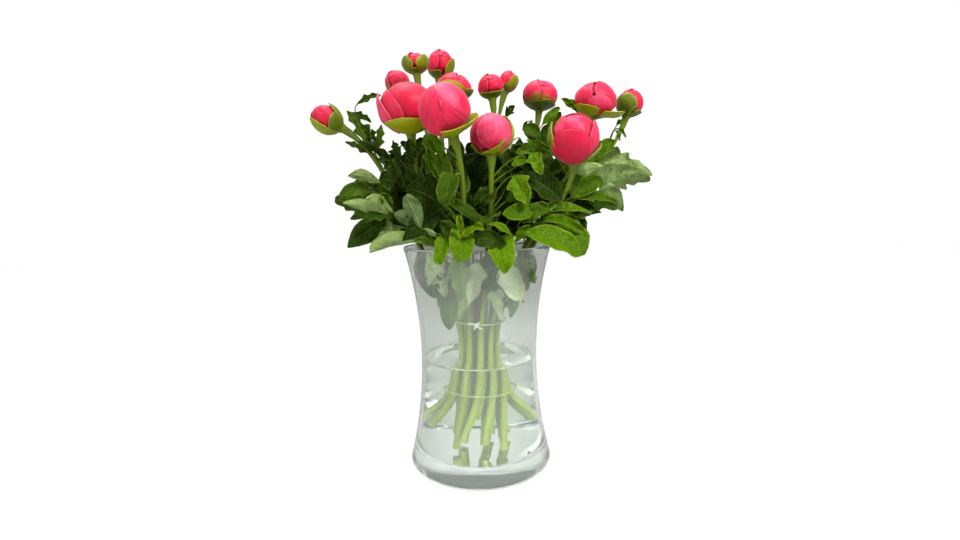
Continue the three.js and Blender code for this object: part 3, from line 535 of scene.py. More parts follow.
def peony_sepal():
    """Fleshy sepal, waxy and smooth, with a thin yellow rim: its tone paints light and shade, lime in the
    light, olive in the shade.
    """
    look = bpy.context.scene.peony_bloom
    material, tree = new_material("peony_sepal")
    if not tree:
        return material
    uv = add(tree, "ShaderNodeUVMap", uv_map="UVMap").outputs[0]
    across_along = add(tree, "ShaderNodeSeparateXYZ", {0: uv})
    tone = add(tree, "ShaderNodeAttribute", attribute_name="tone").outputs["Fac"]
    place = add(tree, "ShaderNodeTexCoord").outputs["Object"]
    # cloudy patches of 10 to 15 mm, and veins about a millimetre apart
    cloud = add(tree, "ShaderNodeTexNoise", {"Vector": place, "Scale": 90.0, "Detail": 3.0}).outputs[0]
    fan = add(tree, "ShaderNodeMapping", {0: uv, "Scale": (22, 1.6, 1)}).outputs[0]
    veins = add(tree, "ShaderNodeTexNoise", {"Vector": fan, "Scale": 1.0, "Detail": 2.0}).outputs[0]
    # painted light and shade: each sepal's tone, with random cloud and veins, sets how olive or lime it is
    # painted
    level = add(tree, "ShaderNodeMath", {0: cloud, 1: 0.5, 2: tone}, operation="MULTIPLY_ADD")
    level = add(tree, "ShaderNodeMath", {0: veins, 1: 0.3, 2: level.outputs[0]}, operation="MULTIPLY_ADD")
    shade = add(tree, "ShaderNodeMapRange", {"Value": level.outputs[0], "From Min": 0.55, "From Max": 1.4})
    colour = add(tree, "ShaderNodeValToRGB", {0: shade.outputs[0]},
                 stops=[(0.0, linear("4E6413")), (0.45, look.olive), (1.0, look.lime)]).outputs[0]
    off = add(tree, "ShaderNodeMath", {0: across_along.outputs[0], 1: 0.5}, operation="SUBTRACT")
    edge = add(tree, "ShaderNodeMath", {0: off.outputs[0]}, operation="ABSOLUTE")
    edge = add(tree, "ShaderNodeMath", {0: edge.outputs[0], 1: 0.5}, operation="ADD")
    edge = add(tree, "ShaderNodeMath", {0: edge.outputs[0], 1: across_along.outputs[1]},
               operation="MAXIMUM")
    rim = add(tree, "ShaderNodeMapRange", {"Value": edge.outputs[0], "From Min": 0.9, "From Max": 1.0,
                                           "To Max": 0.6})
    final = mixed(tree, rim.outputs[0], colour, rgba(linear("B5B02E")))
    bump = add(tree, "ShaderNodeBump", {"Height": veins, "Strength": 0.3, "Distance": 0.0005})
    shader = add(tree, "ShaderNodeBsdfPrincipled",
                 {"Base Color": final, "Roughness": 0.38, "IOR": 1.42, "Specular IOR Level": 0.45,
                  "Subsurface Weight": 0.1, "Subsurface Radius": (0.002, 0.003, 0.0005),
                  "Subsurface Scale": 0.5, "Normal": bump.outputs[0]})
    add(tree, "ShaderNodeOutputMaterial", {0: shader.outputs[0]})
    return material


def peony_leaf(side):
    """Waxy peony leaf with a rib and slanting side veins: deep green above, dull and greyer beneath. Its tone
    paints light and shade on it.
    """
    look = bpy.context.scene.peony_leaf
    material, tree = new_material("peony_leaf_" + side)
    if not tree:
        return material
    uv = add(tree, "ShaderNodeUVMap", uv_map="UVMap").outputs[0]
    across_along = add(tree, "ShaderNodeSeparateXYZ", {0: uv})
    tone = add(tree, "ShaderNodeAttribute", attribute_name="tone").outputs["Fac"]
    place = add(tree, "ShaderNodeTexCoord").outputs["Object"]
    cloud = add(tree, "ShaderNodeTexNoise", {"Vector": place, "Scale": 70.0, "Detail": 4.0}).outputs[0]
    off = add(tree, "ShaderNodeMath", {0: across_along.outputs[0], 1: 0.5}, operation="SUBTRACT")
    off = add(tree, "ShaderNodeMath", {0: off.outputs[0]}, operation="ABSOLUTE")
    # nine pairs of side veins on a leaflet some sixty millimetres long: about 6 mm apart
    wobble = add(tree, "ShaderNodeMath", {0: cloud, 1: 1.2}, operation="MULTIPLY")
    slant = add(tree, "ShaderNodeMath", {0: off.outputs[0], 1: -22.0, 2: wobble.outputs[0]},
                operation="MULTIPLY_ADD")
    swept = add(tree, "ShaderNodeMath", {0: across_along.outputs[1], 1: 56.5, 2: slant.outputs[0]},
                operation="MULTIPLY_ADD")
    wave = add(tree, "ShaderNodeMath", {0: swept.outputs[0]}, operation="SINE")
    vein = add(tree, "ShaderNodeMapRange", {"Value": wave.outputs[0], "From Min": 0.8, "From Max": 1.0,
                                            "To Max": 0.55})
    rib = add(tree, "ShaderNodeMapRange", {"Value": off.outputs[0], "From Min": 0.035, "From Max": 0.01})
    lines = add(tree, "ShaderNodeMath", {0: vein.outputs[0], 1: rib.outputs[0]}, operation="MAXIMUM")
    # painted light and shade: each leaf's tone, with random cloud, sets how dark or bright a green it is
    # painted
    level = add(tree, "ShaderNodeMath", {0: cloud, 1: 0.45, 2: tone}, operation="MULTIPLY_ADD")
    shade = add(tree, "ShaderNodeMapRange", {"Value": level.outputs[0], "From Min": 0.1, "From Max": 1.3})
    if side == "upper":
        stops = [(0.0, look.dark), (0.4, linear("2F4806")), (0.7, linear("547A03")), (1.0, look.bright)]
        rib_dark, rib_bright = linear("66822A"), linear("41600A")
        sunken, roughness, gloss = 0.42, 0.48, 0.08
    else:
        stops = [(0.0, linear("384C26")), (0.5, look.under), (1.0, linear("96AE64"))]
        rib_dark = rib_bright = linear("A9BF86")
        sunken, roughness, gloss = 0.12, 0.6, 0.2
    colour = add(tree, "ShaderNodeValToRGB", {0: shade.outputs[0]}, stops=stops).outputs[0]
    # painted light and haze: leaves with the highest tones, which stand inside the glass, are painted pale
    # sage for the light and haze seen through it
    painted_glass_light = add(tree, "ShaderNodeMapRange", {"Value": level.outputs[0], "From Min": 1.35, "From Max": 2.4,
                                                "To Max": 0.9})
    colour = mixed(tree, painted_glass_light.outputs[0], colour, rgba(linear("C6D6A6")))
    # the net of small veins, two or three millimetres across, sunk and darker
    cells = add(tree, "ShaderNodeTexVoronoi", {"Vector": place, "Scale": 330.0}, feature="DISTANCE_TO_EDGE")
    net = add(tree, "ShaderNodeMapRange", {"Value": cells.outputs["Distance"], "From Min": 0.2,
                                           "From Max": 0.0, "To Max": sunken})
    netted = mixed(tree, net.outputs[0], colour, rgba(look.dark))
    # the rib is paler than a dark leaf, and darker than a bright one on its upper side
    share = add(tree, "ShaderNodeMath", {0: lines.outputs[0], 1: 0.5}, operation="MULTIPLY")
    ribbed = mixed(tree, share.outputs[0], netted,
                   mixed(tree, shade.outputs[0], rgba(rib_dark), rgba(rib_bright)))
    # a thin yellower margin
    margin = add(tree, "ShaderNodeMapRange", {"Value": off.outputs[0], "From Min": 0.43, "From Max": 0.5,
                                              "To Max": 0.5})
    margin = add(tree, "ShaderNodeMath", {0: margin.outputs[0], 1: shade.outputs[0]}, operation="MULTIPLY")
    final = mixed(tree, margin.outputs[0], ribbed, rgba(linear("A3B83A")))
    sunk = add(tree, "ShaderNodeMath", {0: lines.outputs[0], 1: net.outputs[0]}, operation="MAXIMUM")
    bump = add(tree, "ShaderNodeBump", {"Height": sunk.outputs[0], "Strength": 0.6, "Distance": 0.0006},
               invert=side == "upper")
    # the blade is crumpled between its veins, over six to ten millimetres
    crumple = add(tree, "ShaderNodeTexNoise", {"Vector": place, "Scale": 130.0, "Detail": 1.0}).outputs[0]
    bump = add(tree, "ShaderNodeBump", {"Height": crumple, "Strength": 0.8, "Distance": 0.005,
                                        "Normal": bump.outputs[0]})
    shader = add(tree, "ShaderNodeBsdfPrincipled",
                 {"Base Color": final, "Roughness": roughness, "IOR": 1.45, "Specular IOR Level": gloss,
                  "Normal": bump.outputs[0]})
    add(tree, "ShaderNodeOutputMaterial", {0: shader.outputs[0]})
    return material


def peony_stem():
    """Green herb stem, waxy with fine ribs along it: yellower and paler where it stands in the water."""
    look = bpy.context.scene.peony_leaf
    material, tree = new_material("peony_stem")
    if not tree:
        return material
    place = add(tree, "ShaderNodeTexCoord").outputs["Object"]
    height = add(tree, "ShaderNodeSeparateXYZ", {0: place}).outputs[2]
    # ribs a millimetre or so apart, which run nearly upright
    along = add(tree, "ShaderNodeMapping", {0: place, "Scale": (900, 900, 18)}).outputs[0]
    ribs = add(tree, "ShaderNodeTexNoise", {"Vector": along, "Scale": 1.0, "Detail": 2.0}).outputs[0]
    wet = add(tree, "ShaderNodeMapRange", {"Value": height, "From Min": 0.20, "From Max": 0.12})
    dry = mixed(tree, ribs, rgba(linear("576A08")), rgba(look.stem))
    pale = mixed(tree, ribs, rgba(linear("7A901A")), rgba(linear("9FB238")))
    final = mixed(tree, wet.outputs[0], dry, pale)
    bump = add(tree, "ShaderNodeBump", {"Height": ribs, "Strength": 0.35, "Distance": 0.0006})
    shader = add(tree, "ShaderNodeBsdfPrincipled",
                 {"Base Color": final, "Roughness": 0.4, "IOR": 1.45, "Specular IOR Level": 0.45,
                  "Normal": bump.outputs[0]})
    add(tree, "ShaderNodeOutputMaterial", {0: shader.outputs[0]})
    return material


def clear_body(name, tint, ior, roughness, wave_scale, wave_height, through):
    """A clear body that bends what is seen through it and lets the lamps' light through to what it holds."""
    material, tree = new_material(name)
    if not tree:
        return material
    place = add(tree, "ShaderNodeTexCoord").outputs["Object"]
    waves = add(tree, "ShaderNodeTexNoise", {"Vector": place, "Scale": wave_scale, "Detail": 1.0}).outputs[0]
    bump = add(tree, "ShaderNodeBump", {"Height": waves, "Strength": 0.3, "Distance": wave_height})
    clear = add(tree, "ShaderNodeBsdfPrincipled",
                {"Base Color": rgba(tint), "Roughness": roughness, "IOR": ior, "Transmission Weight": through,
                 "Normal": bump.outputs[0]})
    lamps = add(tree, "ShaderNodeBsdfTransparent", {0: rgba(tint)})
    shadow = add(tree, "ShaderNodeLightPath").outputs["Is Shadow Ray"]
    both = add(tree, "ShaderNodeMixShader", {0: shadow, 1: clear.outputs[0], 2: lamps.outputs[0]})
    add(tree, "ShaderNodeOutputMaterial", {0: both.outputs[0]})
    return material


def soda_glass():
    """Soda-lime glass, blown in a mould and fire polished: clear, faintly green, with slow waves."""
    return clear_body("soda_glass", bpy.context.scene.peony_vase.glass, 1.5, 0.0, 14.0, 0.0008, 0.93)


def ground_rim():
    """The same glass where the mouth was ground flat and left faintly frosted, so that it looks white."""
    return clear_body("ground_rim", bpy.context.scene.peony_vase.glass, 1.5, 0.5, 300.0, 0.0002, 0.5)


def flower_water():
    """Water with a little plant juice in it: clear, faintly green, nearly still."""
    return clear_body("flower_water", linear("F3F8F0"), 1.333, 0.0, 9.0, 0.0003, 1.0)


def twine():
    """Soft white twine of two twisted strands, matt, damp and slightly green from the stems."""
    material, tree = new_material("twine")
    if not tree:
        return material
    place = add(tree, "ShaderNodeTexCoord").outputs["Object"]
    fibres = add(tree, "ShaderNodeTexNoise", {"Vector": place, "Scale": 1500.0, "Detail": 2.0}).outputs[0]
    # the rings have taken colour from the stems and the water, the knot's ends stay white
    clean_share = add(tree, "ShaderNodeAttribute", attribute_name="tone").outputs["Fac"]
    soaked = mixed(tree, fibres, rgba(linear("8FA545")), rgba(linear("AFC46A")))
    clean = mixed(tree, fibres, rgba(linear("B9C29C")), rgba(linear("F0F2E4")))
    colour = mixed(tree, clean_share, soaked, clean)
    bump = add(tree, "ShaderNodeBump", {"Height": fibres, "Strength": 0.6, "Distance": 0.0004})
    shader = add(tree, "ShaderNodeBsdfPrincipled",
                 {"Base Color": colour, "Roughness": 0.8, "Sheen Weight": 0.2, "Normal": bump.outputs[0]})
    add(tree, "ShaderNodeOutputMaterial", {0: shader.outputs[0]})
    return material


def studio_floor():
    """Matt white studio sheet with a barely visible paper tooth."""
    material, tree = new_material("studio_floor")
    if not tree:
        return material
    place = add(tree, "ShaderNodeTexCoord").outputs["Object"]
    tooth = add(tree, "ShaderNodeTexNoise", {"Vector": place, "Scale": 600.0}).outputs[0]
    colour = mixed(tree, tooth, rgba(linear("BFC3C1")), rgba(linear("C9CCCA")))
    sheet = add(tree, "ShaderNodeBsdfPrincipled", {"Base Color": colour, "Roughness": 0.6})
    lit = add(tree, "ShaderNodeEmission", {0: (1, 1, 1, 1), 1: 1.08})
    seen = add(tree, "ShaderNodeLightPath").outputs["Is Camera Ray"]
    share = add(tree, "ShaderNodeMath", {0: seen, 1: 0.9}, operation="MULTIPLY")
    shader = add(tree, "ShaderNodeMixShader", {0: share.outputs[0], 1: sheet.outputs[0], 2: lit.outputs[0]})
    add(tree, "ShaderNodeOutputMaterial", {0: shader.outputs[0]})
    return material


# ---- Modelling ----

def deselect():
    bpy.ops.object.select_all(action="DESELECT")


def pick(piece):
    """Selects one piece alone and makes it the active one."""
    deselect()
    piece.select_set(True)
    bpy.context.view_layer.objects.active = piece


def joined(pieces, name):
    """Joins pieces into one object with that name."""
    deselect()
    for piece in pieces:
        piece.select_set(True)
    bpy.context.view_layer.objects.active = pieces[0]
    if len(pieces) > 1:
        bpy.ops.object.join()
    pieces[0].name = name
    pieces[0].data.name = name
    return pieces[0]


def apply_modifier(piece, kind, **settings):
    """Gives a piece a modifier with those settings and applies it."""
    pick(piece)
    modifier = piece.modifiers.new(kind.title(), kind)
    for name, value in settings.items():
        setattr(modifier, name, value)
    bpy.ops.object.modifier_apply(modifier=modifier.name)


def settle(piece, slot, materials, *nodes, angle=60):
    """Finishes a piece: smooth faces, materials, its body and the nodes it stands for. The slot argument is
    not used.
    """
    pick(piece)
    bpy.ops.object.shade_smooth_by_angle(angle=math.radians(angle))
    slots = piece.data.materials
    while len(slots) < len(materials):
        slots.append(None)
    for index, material in enumerate(materials):
        slots[index] = material
    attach(piece, "root")
    if nodes:
        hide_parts(*nodes)


def mark(piece, **levels):
    """Gives a piece an attribute of each name, with one level all over."""
    for name, level in levels.items():
        attribute = piece.data.attributes.new(name, "FLOAT", "POINT")
        attribute.data.foreach_set("value", [level] * len(piece.data.vertices))


def blade(columns, rows, place, **levels):
    """A grid laid out by place(across, along), each from -1 to 1. Its UV map stays flat, and each level
    becomes an attribute of that name."""
    deselect()
    bpy.ops.mesh.primitive_grid_add(x_subdivisions=columns, y_subdivisions=rows, size=2)
    piece = bpy.context.active_object
    for vertex in piece.data.vertices:
        vertex.co = place(vertex.co.x, vertex.co.y)
    mark(piece, **levels)
    return piece


def line_tube(points, radii, closed=False, resolution=3):
    """A round tube through points in millimetres."""
    curve = bpy.data.curves.new("line", "CURVE")
    curve.dimensions = "3D"
    curve.bevel_depth = MM
    curve.bevel_resolution = resolution
    curve.use_fill_caps = True
    spline = curve.splines.new("POLY")
    spline.points.add(len(points) - 1)
    for spot, point, radius in zip(spline.points, points, radii):
        spot.co = (*(Vector(point) * MM), 1)
        spot.radius = radius
    spline.use_cyclic_u = closed
    piece = bpy.data.objects.new("line", curve)
    bpy.context.scene.collection.objects.link(piece)
    pick(piece)
    bpy.ops.object.convert(target="MESH")
    return bpy.context.active_object


def turned(name, profile, sides):
    """A closed turned body: a disc is extruded along the profile's radii and heights, then closed."""
    deselect()
    radius, height = profile[0]
    bpy.ops.mesh.primitive_circle_add(vertices=sides, radius=radius, fill_type="TRIFAN",
                                      location=(0, 0, height))
    piece = bpy.context.active_object
    bpy.ops.object.transform_apply()
    bpy.ops.object.mode_set(mode="EDIT")
    bpy.ops.mesh.select_all(action="DESELECT")
    bpy.ops.mesh.select_mode(type="EDGE")
    bpy.ops.mesh.select_non_manifold()
    for next_radius, next_height in profile[1:]:
        bpy.ops.mesh.extrude_region_move(
            TRANSFORM_OT_translate={"value": (0, 0, next_height - height)})
        scale = next_radius / radius
        bpy.ops.transform.resize(value=(scale, scale, 1), center_override=(0, 0, next_height))
        radius, height = next_radius, next_height
    bpy.ops.mesh.merge(type="CENTER")
    bpy.ops.mesh.select_all(action="SELECT")
    bpy.ops.mesh.normals_make_consistent(inside=False)
    bpy.ops.object.mode_set(mode="OBJECT")
    piece.name = name
    piece.data.name = name
    return piece


def eased(x):
    """A soft step from 0 to 1 while x goes from 0 to 1."""
    x = max(0.0, min(1.0, x))
    return x * x * (3 - 2 * x)


def along_table(table, x):
    """Reads a table of (place, value) pairs between its entries."""
    for (x0, y0), (x1, y1) in zip(table, table[1:]):
        if x <= x1:
            return y0 + (y1 - y0) * (x - x0) / (x1 - x0)
    return table[-1][1]


# ---- The vase and its water ----

WAIST_HEIGHT = 125  # millimetres
FLARE = 480  # radius of the arc that the vase's side follows
FOOT_ROUND = 5  # radius of the outer edge under the vase
WELL_ROUND = 10  # radius of the inner edge over the floor
RIM_TOP = 1.6  # depth of the ground rim


def wall_radius(height):
    """Outside radius of the vase at a height in millimetres."""
    waist = bpy.context.scene.peony_vase.waist / MM
    return waist + FLARE - math.sqrt(FLARE ** 2 - (height - WAIST_HEIGHT) ** 2)


def metres(profile):
    """A profile in millimetres brought to metres."""
    return [(radius * MM, height * MM) for radius, height in profile]


class PEONY_OT_vase(bpy.types.Operator):
    """Makes the flared glass vase"""
    bl_idname = "peony.vase"
    bl_label = "Glass vase"

    def execute(self, context):
        sizes = context.scene.peony_vase
        wall, floor, tall = sizes.wall / MM, sizes.floor / MM, sizes.height / MM
        foot = wall_radius(FOOT_ROUND) - FOOT_ROUND
        profile = [(foot - 8, 0.6), (foot - 3, 0)]
        profile += [(foot + FOOT_ROUND * math.sin(a), FOOT_ROUND - FOOT_ROUND * math.cos(a))
                    for a in (math.radians(15 * k) for k in range(0, 7))]
        profile += [(wall_radius(h), h) for h in range(10, int(tall) - 4, 6)]
        mouth = wall_radius(tall) - wall / 2
        profile += [(mouth + wall / 2 * math.cos(a), tall - wall / 2 + wall / 2 * math.sin(a))
                    for a in (math.radians(22.5 * k) for k in range(0, 9))]
        profile += [(wall_radius(h) - wall, h) for h in range(int(tall) - 6, int(floor) + 12, -6)]
        well = wall_radius(floor + WELL_ROUND) - wall
        profile += [(well - WELL_ROUND + WELL_ROUND * math.cos(a),
                     floor + WELL_ROUND - WELL_ROUND * math.sin(a))
                    for a in (math.radians(11.25 * k) for k in range(0, 9))]
        profile += [(well - 20, floor - 0.2), (2, floor - 0.4)]
        piece = turned("vase_glass", metres(profile), 128)
        for polygon in piece.data.polygons:
            polygon.material_index = int(polygon.center.z > sizes.height - RIM_TOP * MM)
        settle(piece, "glass", [soda_glass(), ground_rim()], "vase", angle=40)
        return {"FINISHED"}


class PEONY_OT_water(bpy.types.Operator):
    """Makes the water in the vase"""
    bl_idname = "peony.water"
    bl_label = "Water"

    def execute(self, context):
        sizes = context.scene.peony_vase
        wall, floor, top = sizes.wall / MM, sizes.floor / MM, sizes.water / MM
        well = wall_radius(floor + WELL_ROUND) - wall - GAP
        profile = [(8, floor + GAP), (well - WELL_ROUND, floor + GAP)]
        profile += [(well - WELL_ROUND + WELL_ROUND * math.sin(a),
                     floor + GAP + WELL_ROUND - WELL_ROUND * math.cos(a))
                    for a in (math.radians(11.25 * k) for k in range(1, 9))]
        profile += [(wall_radius(h) - wall - GAP, h) for h in range(int(floor) + 14, int(top) - 1, 6)]
        reach = wall_radius(top) - wall - GAP
        # the water creeps up the glass by two millimetres
        profile += [(reach, top + 1.6), (reach - 0.6, top + 0.6), (reach - 1.8, top - 0.2),
                    (reach - 4, top - 0.5), (reach - 20, top - 0.5), (4, top - 0.5)]
        piece = turned("vase_water", metres(profile), 128)
        settle(piece, "water", [flower_water()], "water", angle=40)
        return {"FINISHED"}


# ---- Ties ----

TIE_STEPS = 220  # points along each strand
TIE_LAYS = 34  # times that the two strands turn round each other on their way round the bunch
LAY_RADIUS = 0.45
STRAND_RADIUS = 0.52
KNOT_ASIDE = -2  # the knot is a little to the left
KNOT_ENDS = ((-9, 3, 1.4), (4, 3.5, 1.0), (6, -3.5, 1.6), (-3, -4.5, 1.2))  # reach aside, up and forward


def strand_tube(radius, height, strand):
    """One strand of a tie: it winds round its fellow and follows the bunch, which isn't quite round."""
    points = []
    for k in range(TIE_STEPS):
        turn = 2 * math.pi * k / TIE_STEPS
        lay = 2 * math.pi * (k / TIE_STEPS * TIE_LAYS + strand / 2)
        bend = 1 + 0.012 * math.sin(3 * turn + strand)
        reach = radius * bend + LAY_RADIUS * math.cos(lay)
        points.append((reach * math.cos(turn), reach * math.sin(turn),
                       height + 0.8 * math.sin(2 * turn) + LAY_RADIUS * math.sin(lay)))
    return line_tube(points, [STRAND_RADIUS] * TIE_STEPS, closed=True)


def knot_tubes(front, height):
    """The knot at the front of the upper tie: four loose ends and a small loop over them."""
    tubes = []
    for x, z, lift in KNOT_ENDS:
        points = [(KNOT_ASIDE + x * t, front - lift * math.sin(math.pi * t) - 0.4 * t,
                   height + z * t - 1.5 * math.sin(math.pi * t) * (1 if z < 0 else -1) * 0.4)
                  for t in (k / 10 for k in range(11))]
        tubes.append(line_tube(points, [0.85] * 10 + [0.6]))
    loop = [(KNOT_ASIDE + 1.7 * math.cos(a), front - 0.2 + 1.2 * math.sin(2 * a) * 0.5,
             height + 1.6 * math.sin(a)) for a in (2 * math.pi * k / 24 for k in range(24))]
    tubes.append(line_tube(loop, [0.95] * 24, closed=True))
    return tubes


class PEONY_OT_ties(bpy.types.Operator):
    """Makes the two ties of twine round the stems"""
    bl_idname = "peony.ties"
    bl_label = "Ties of twine"

    def execute(self, context):
        radius = OUTER_RING + STEM_RADIUS + 3.1
        for node, height in TIE_HEIGHTS.items():
            strands = [strand_tube(radius, height, strand) for strand in (0, 1)]
            for strand in strands:
                mark(strand, tone=0.2 if node == "tie_upper" else 0.0)
            if node == "tie_upper":
                knot = knot_tubes(-(radius + 1.3), height)
                for tube in knot:
                    mark(tube, tone=1.0)
                strands += knot
            piece = joined(strands, "twine_" + node[4:])
            settle(piece, "band", [twine()], node)
        return {"FINISHED"}


# ---- Stems ----

def around(radius, degrees, height):
    """A place at a radius and a turn round the bunch's middle."""
    angle = math.radians(degrees)
    return Vector((radius * math.cos(angle), radius * math.sin(angle), height))


def stem_line(name):
    """The knots of a stem's line and its slope at each: cut end, two ties, the vase's mouth and the bud."""
    bud = BUDS[name]
    order = BUD_ORDER.index(name)
    middle = Vector(bud["at"])
    tipward = Vector(bud["points"]).normalized()
    seat = middle - tipward * (bud["along"] + SEAT_GAP)
    azimuth = math.degrees(math.atan2(middle.y, middle.x))
    turn = ((azimuth - bud["slot"] + 540) % 360) - 180
    inner = bud.get("inner", False)
    ring = INNER_RING if inner else OUTER_RING
    neck = (INNER_NECK_BASE if inner else NECK_BASE) + NECK_SHARE * math.hypot(middle.x, middle.y)
    # no two cut ends stand alike
    spread = ring * (FOOT_SPREAD + 0.3 * math.sin(order * 2.4))
    foot_turn = bud["slot"] - 2 * TWIST + 8 * math.sin(order * 4.1)
    foot_height = FOOT_HEIGHTS[order % len(FOOT_HEIGHTS)] + 5 * math.sin(order * 1.9)
    foot = Vector(bud["foot"]) if "foot" in bud else around(spread, foot_turn, foot_height)
    knots = [
        foot,
        around(ring, bud["slot"] - TWIST / 2, TIE_HEIGHTS["tie_lower"]),
        around(ring, bud["slot"] + TWIST / 2, TIE_HEIGHTS["tie_upper"]),
        around(min(NECK_LIMIT, neck), bud["slot"] + TWIST / 2 + turn * NECK_TURN, NECK_HEIGHT),
        seat,
    ]
    slopes = [knots[1] - knots[0]]
    slopes += [(knots[k + 1] - knots[k - 1]) * 0.5 for k in (1, 2, 3)]
    slopes.append(tipward * ((seat - knots[3]).length * SEAT_PULL))
    return knots, slopes


def bezier(a, b, c, d, t):
    """The place at a share t of a line from a to d that b and c bend."""
    s = 1 - t
    return a * s ** 3 + b * (3 * s * s * t) + c * (3 * s * t * t) + d * t ** 3


def stretch(knots, slopes, k):
    """The four points that bend a line from knot k to the next one."""
    return knots[k], knots[k] + slopes[k] / 3, knots[k + 1] - slopes[k + 1] / 3, knots[k + 1]


def stem_point(name, height):
    """The point of a stem at a height above the ties."""
    knots, slopes = stem_line(name)
    bends = stretch(knots, slopes, 2 if height < NECK_HEIGHT else 3)
    low, high = 0.0, 1.0
    for _ in range(24):
        half = (low + high) / 2
        if bezier(*bends, half).z < height:
            low = half
        else:
            high = half
    return bezier(*bends, low)


def stem_radius(k, t, slim):
    """A stem's radius at a share t of its stretch k: it tapers, gets slim under a small bud and swells
    where the bud sits."""
    share = (k + t) / 4
    swell = 0.55 * eased((share - 0.965) / 0.035)
    narrowing = (1, 1, 1 - (1 - slim) * t, slim)[k]
    return STEM_RADIUS * (1.02 - 0.3 * share) * narrowing + STEM_RADIUS * swell


def companion(name):
    """A thinner leaf stalk that stands beside a stem and ends among the leaves: its points and its radii."""
    slot = BUDS[name]["slot"] + 14
    order = BUD_ORDER.index(name)
    ring = OUTER_RING - 8 - 5 * (order % 3)
    knots = (around(ring + 6, slot - 26, 30 + 9 * (order % 4)),
             around(ring, slot - 8, TIE_HEIGHTS["tie_lower"]),
             around(ring - 1, slot + 4, TIE_HEIGHTS["tie_upper"]),
             around(ring + 9, slot + 14, NECK_HEIGHT - 2))
    slopes = (knots[1] - knots[0], (knots[2] - knots[0]) * 0.5, (knots[3] - knots[1]) * 0.5,
              knots[3] - knots[2])
    points = []
    for k in range(3):
        bends = stretch(knots, slopes, k)
        points += [bezier(*bends, step / 12) for step in range(12 + (k == 2))]
    return points, [2.7 - 1.2 * k / len(points) for k in range(len(points))]


class PEONY_OT_stems(bpy.types.Operator):
    """Makes each bud's stem with the stalks of its leaves"""
    bl_idname = "peony.stems"
    bl_label = "Stems"

    def execute(self, context):
        steps = 22
        for name, bud in BUDS.items():
            knots, slopes = stem_line(name)
            points = []
            radii = []
            for k in range(4):
                bends = stretch(knots, slopes, k)
                for step in range(steps + (k == 3)):
                    points.append(bezier(*bends, step / steps))
                    radii.append(stem_radius(k, step / steps, bud.get("slim", 1.0)))
            # the stem widens into the bud
            points.append(points[-1] + Vector(bud["points"]).normalized() * 3.4)
            radii.append(radii[-1] + 1.4)
            tubes = [line_tube(points, radii, resolution=4), line_tube(*companion(name))]
            for start, tip, arch, _half, face, *_rest in FRONDS.get(name, ()):
                line = FrondLine(stem_point(name, start), tip, arch, face)
                stalk = [line.point(BARE_SHARE * 1.08 * k / 10) for k in range(11)]
                tubes.append(line_tube(stalk, [2.0 - 0.8 * eased(k / 4) for k in range(11)], resolution=2))
            for start, root, tip, *_rest in leaflets_of(name):
                base, root = stem_point(name, start), Vector(root)
                lead = (Vector(tip) - root).normalized()
                reach = (root - base).length
                bends = (base, base + UP * reach * 0.2, root - lead * reach * 0.2, root + lead * 1.5)
                stalk = [bezier(*bends, k / 8) for k in range(9)]
                tubes.append(line_tube(stalk, [1.1 - 0.45 * eased(k / 5) for k in range(9)], resolution=1))
            piece = joined(tubes, "stem_" + name)
            settle(piece, "leaf", [peony_stem()], "leafy_stem_" + name)
        return {"FINISHED"}


# ---- Leaves ----

class FrondLine:
    """The line that a frond's rib follows, and the way its face is turned. The first share of it is bare."""

    def __init__(self, base, tip, arch, face, bare=BARE_SHARE, roll=0.0):
        self.base = base
        self.tip = Vector(tip)
        self.crest = self.base.lerp(self.tip, 0.5) + UP * arch
        self.facing = Vector((0, -math.sin(math.radians(face)), math.cos(math.radians(face))))
        self.bare = bare
        self.roll = roll
        step = (1 - bare) / 10
        self.length = sum((self.point(bare + step * (k + 1)) - self.point(bare + step * k)).length
                          for k in range(10))

    def point(self, t):
        s = 1 - t
        return self.base * (s * s) + self.crest * (2 * s * t) + self.tip * (t * t)

    def axes(self, t):
        forward = ((self.crest - self.base) * (1 - t) + (self.tip - self.crest) * t).normalized()
        side = forward.cross(self.facing).normalized()
        side = Matrix.Rotation(self.roll * t, 3, forward) @ side
        return forward, side, side.cross(forward)

    def place(self, along, across, rise):
        """A point on the frond, from millimetres along its rib, across it and up from its face."""
        t = self.bare + along / self.length * (1 - self.bare)
        forward, side, up = self.axes(min(1.15, t))
        off = abs(across)
        # the sides rise from the rib and bend down again
        return self.point(t) + side * across + up * (0.25 * off - 0.006 * off * off + rise)


# The half width of each outline along it, as shares of its greatest width and of its length
LEAFLET_OUTLINES = {
    "lance": ((0, 0.03), (0.12, 0.4), (0.3, 0.86), (0.45, 1.0), (0.62, 0.95), (0.8, 0.68), (0.93, 0.34),
              (1, 0.04)),
    "oval": ((0, 0.04), (0.1, 0.5), (0.28, 0.9), (0.48, 1.0), (0.7, 0.9), (0.87, 0.62), (0.96, 0.34),
             (1, 0.06)),
    "broad": ((0, 0.04), (0.08, 0.55), (0.22, 0.95), (0.38, 1.0), (0.5, 0.86), (0.58, 0.8), (0.7, 0.82),
              (0.82, 0.7), (0.93, 0.42), (1, 0.08)),
    "blunt": ((0, 0.1), (0.1, 0.5), (0.3, 0.86), (0.55, 1.0), (0.8, 0.95), (0.93, 0.72), (1, 0.34)),
    "tri": ((0, 0.05), (0.1, 0.5), (0.24, 0.94), (0.32, 1.0), (0.4, 0.76), (0.5, 0.62), (0.64, 0.68),
            (0.78, 0.62), (0.86, 0.44), (1, 0.05)),
    "lobed": ((0, 0.03), (0.08, 0.34), (0.2, 0.74), (0.33, 1.02), (0.385, 1.0), (0.43, 0.64), (0.47, 0.54),
              (0.6, 0.64), (0.67, 0.62), (0.72, 0.46), (0.86, 0.36), (0.95, 0.22), (1, 0.04)),
    "cut": ((0, 0.04), (0.12, 0.2), (0.27, 0.5), (0.38, 0.95), (0.44, 0.86), (0.5, 0.5), (0.6, 0.4),
            (0.7, 0.7), (0.75, 0.64), (0.82, 0.36), (0.92, 0.24), (1, 0.05)),
}


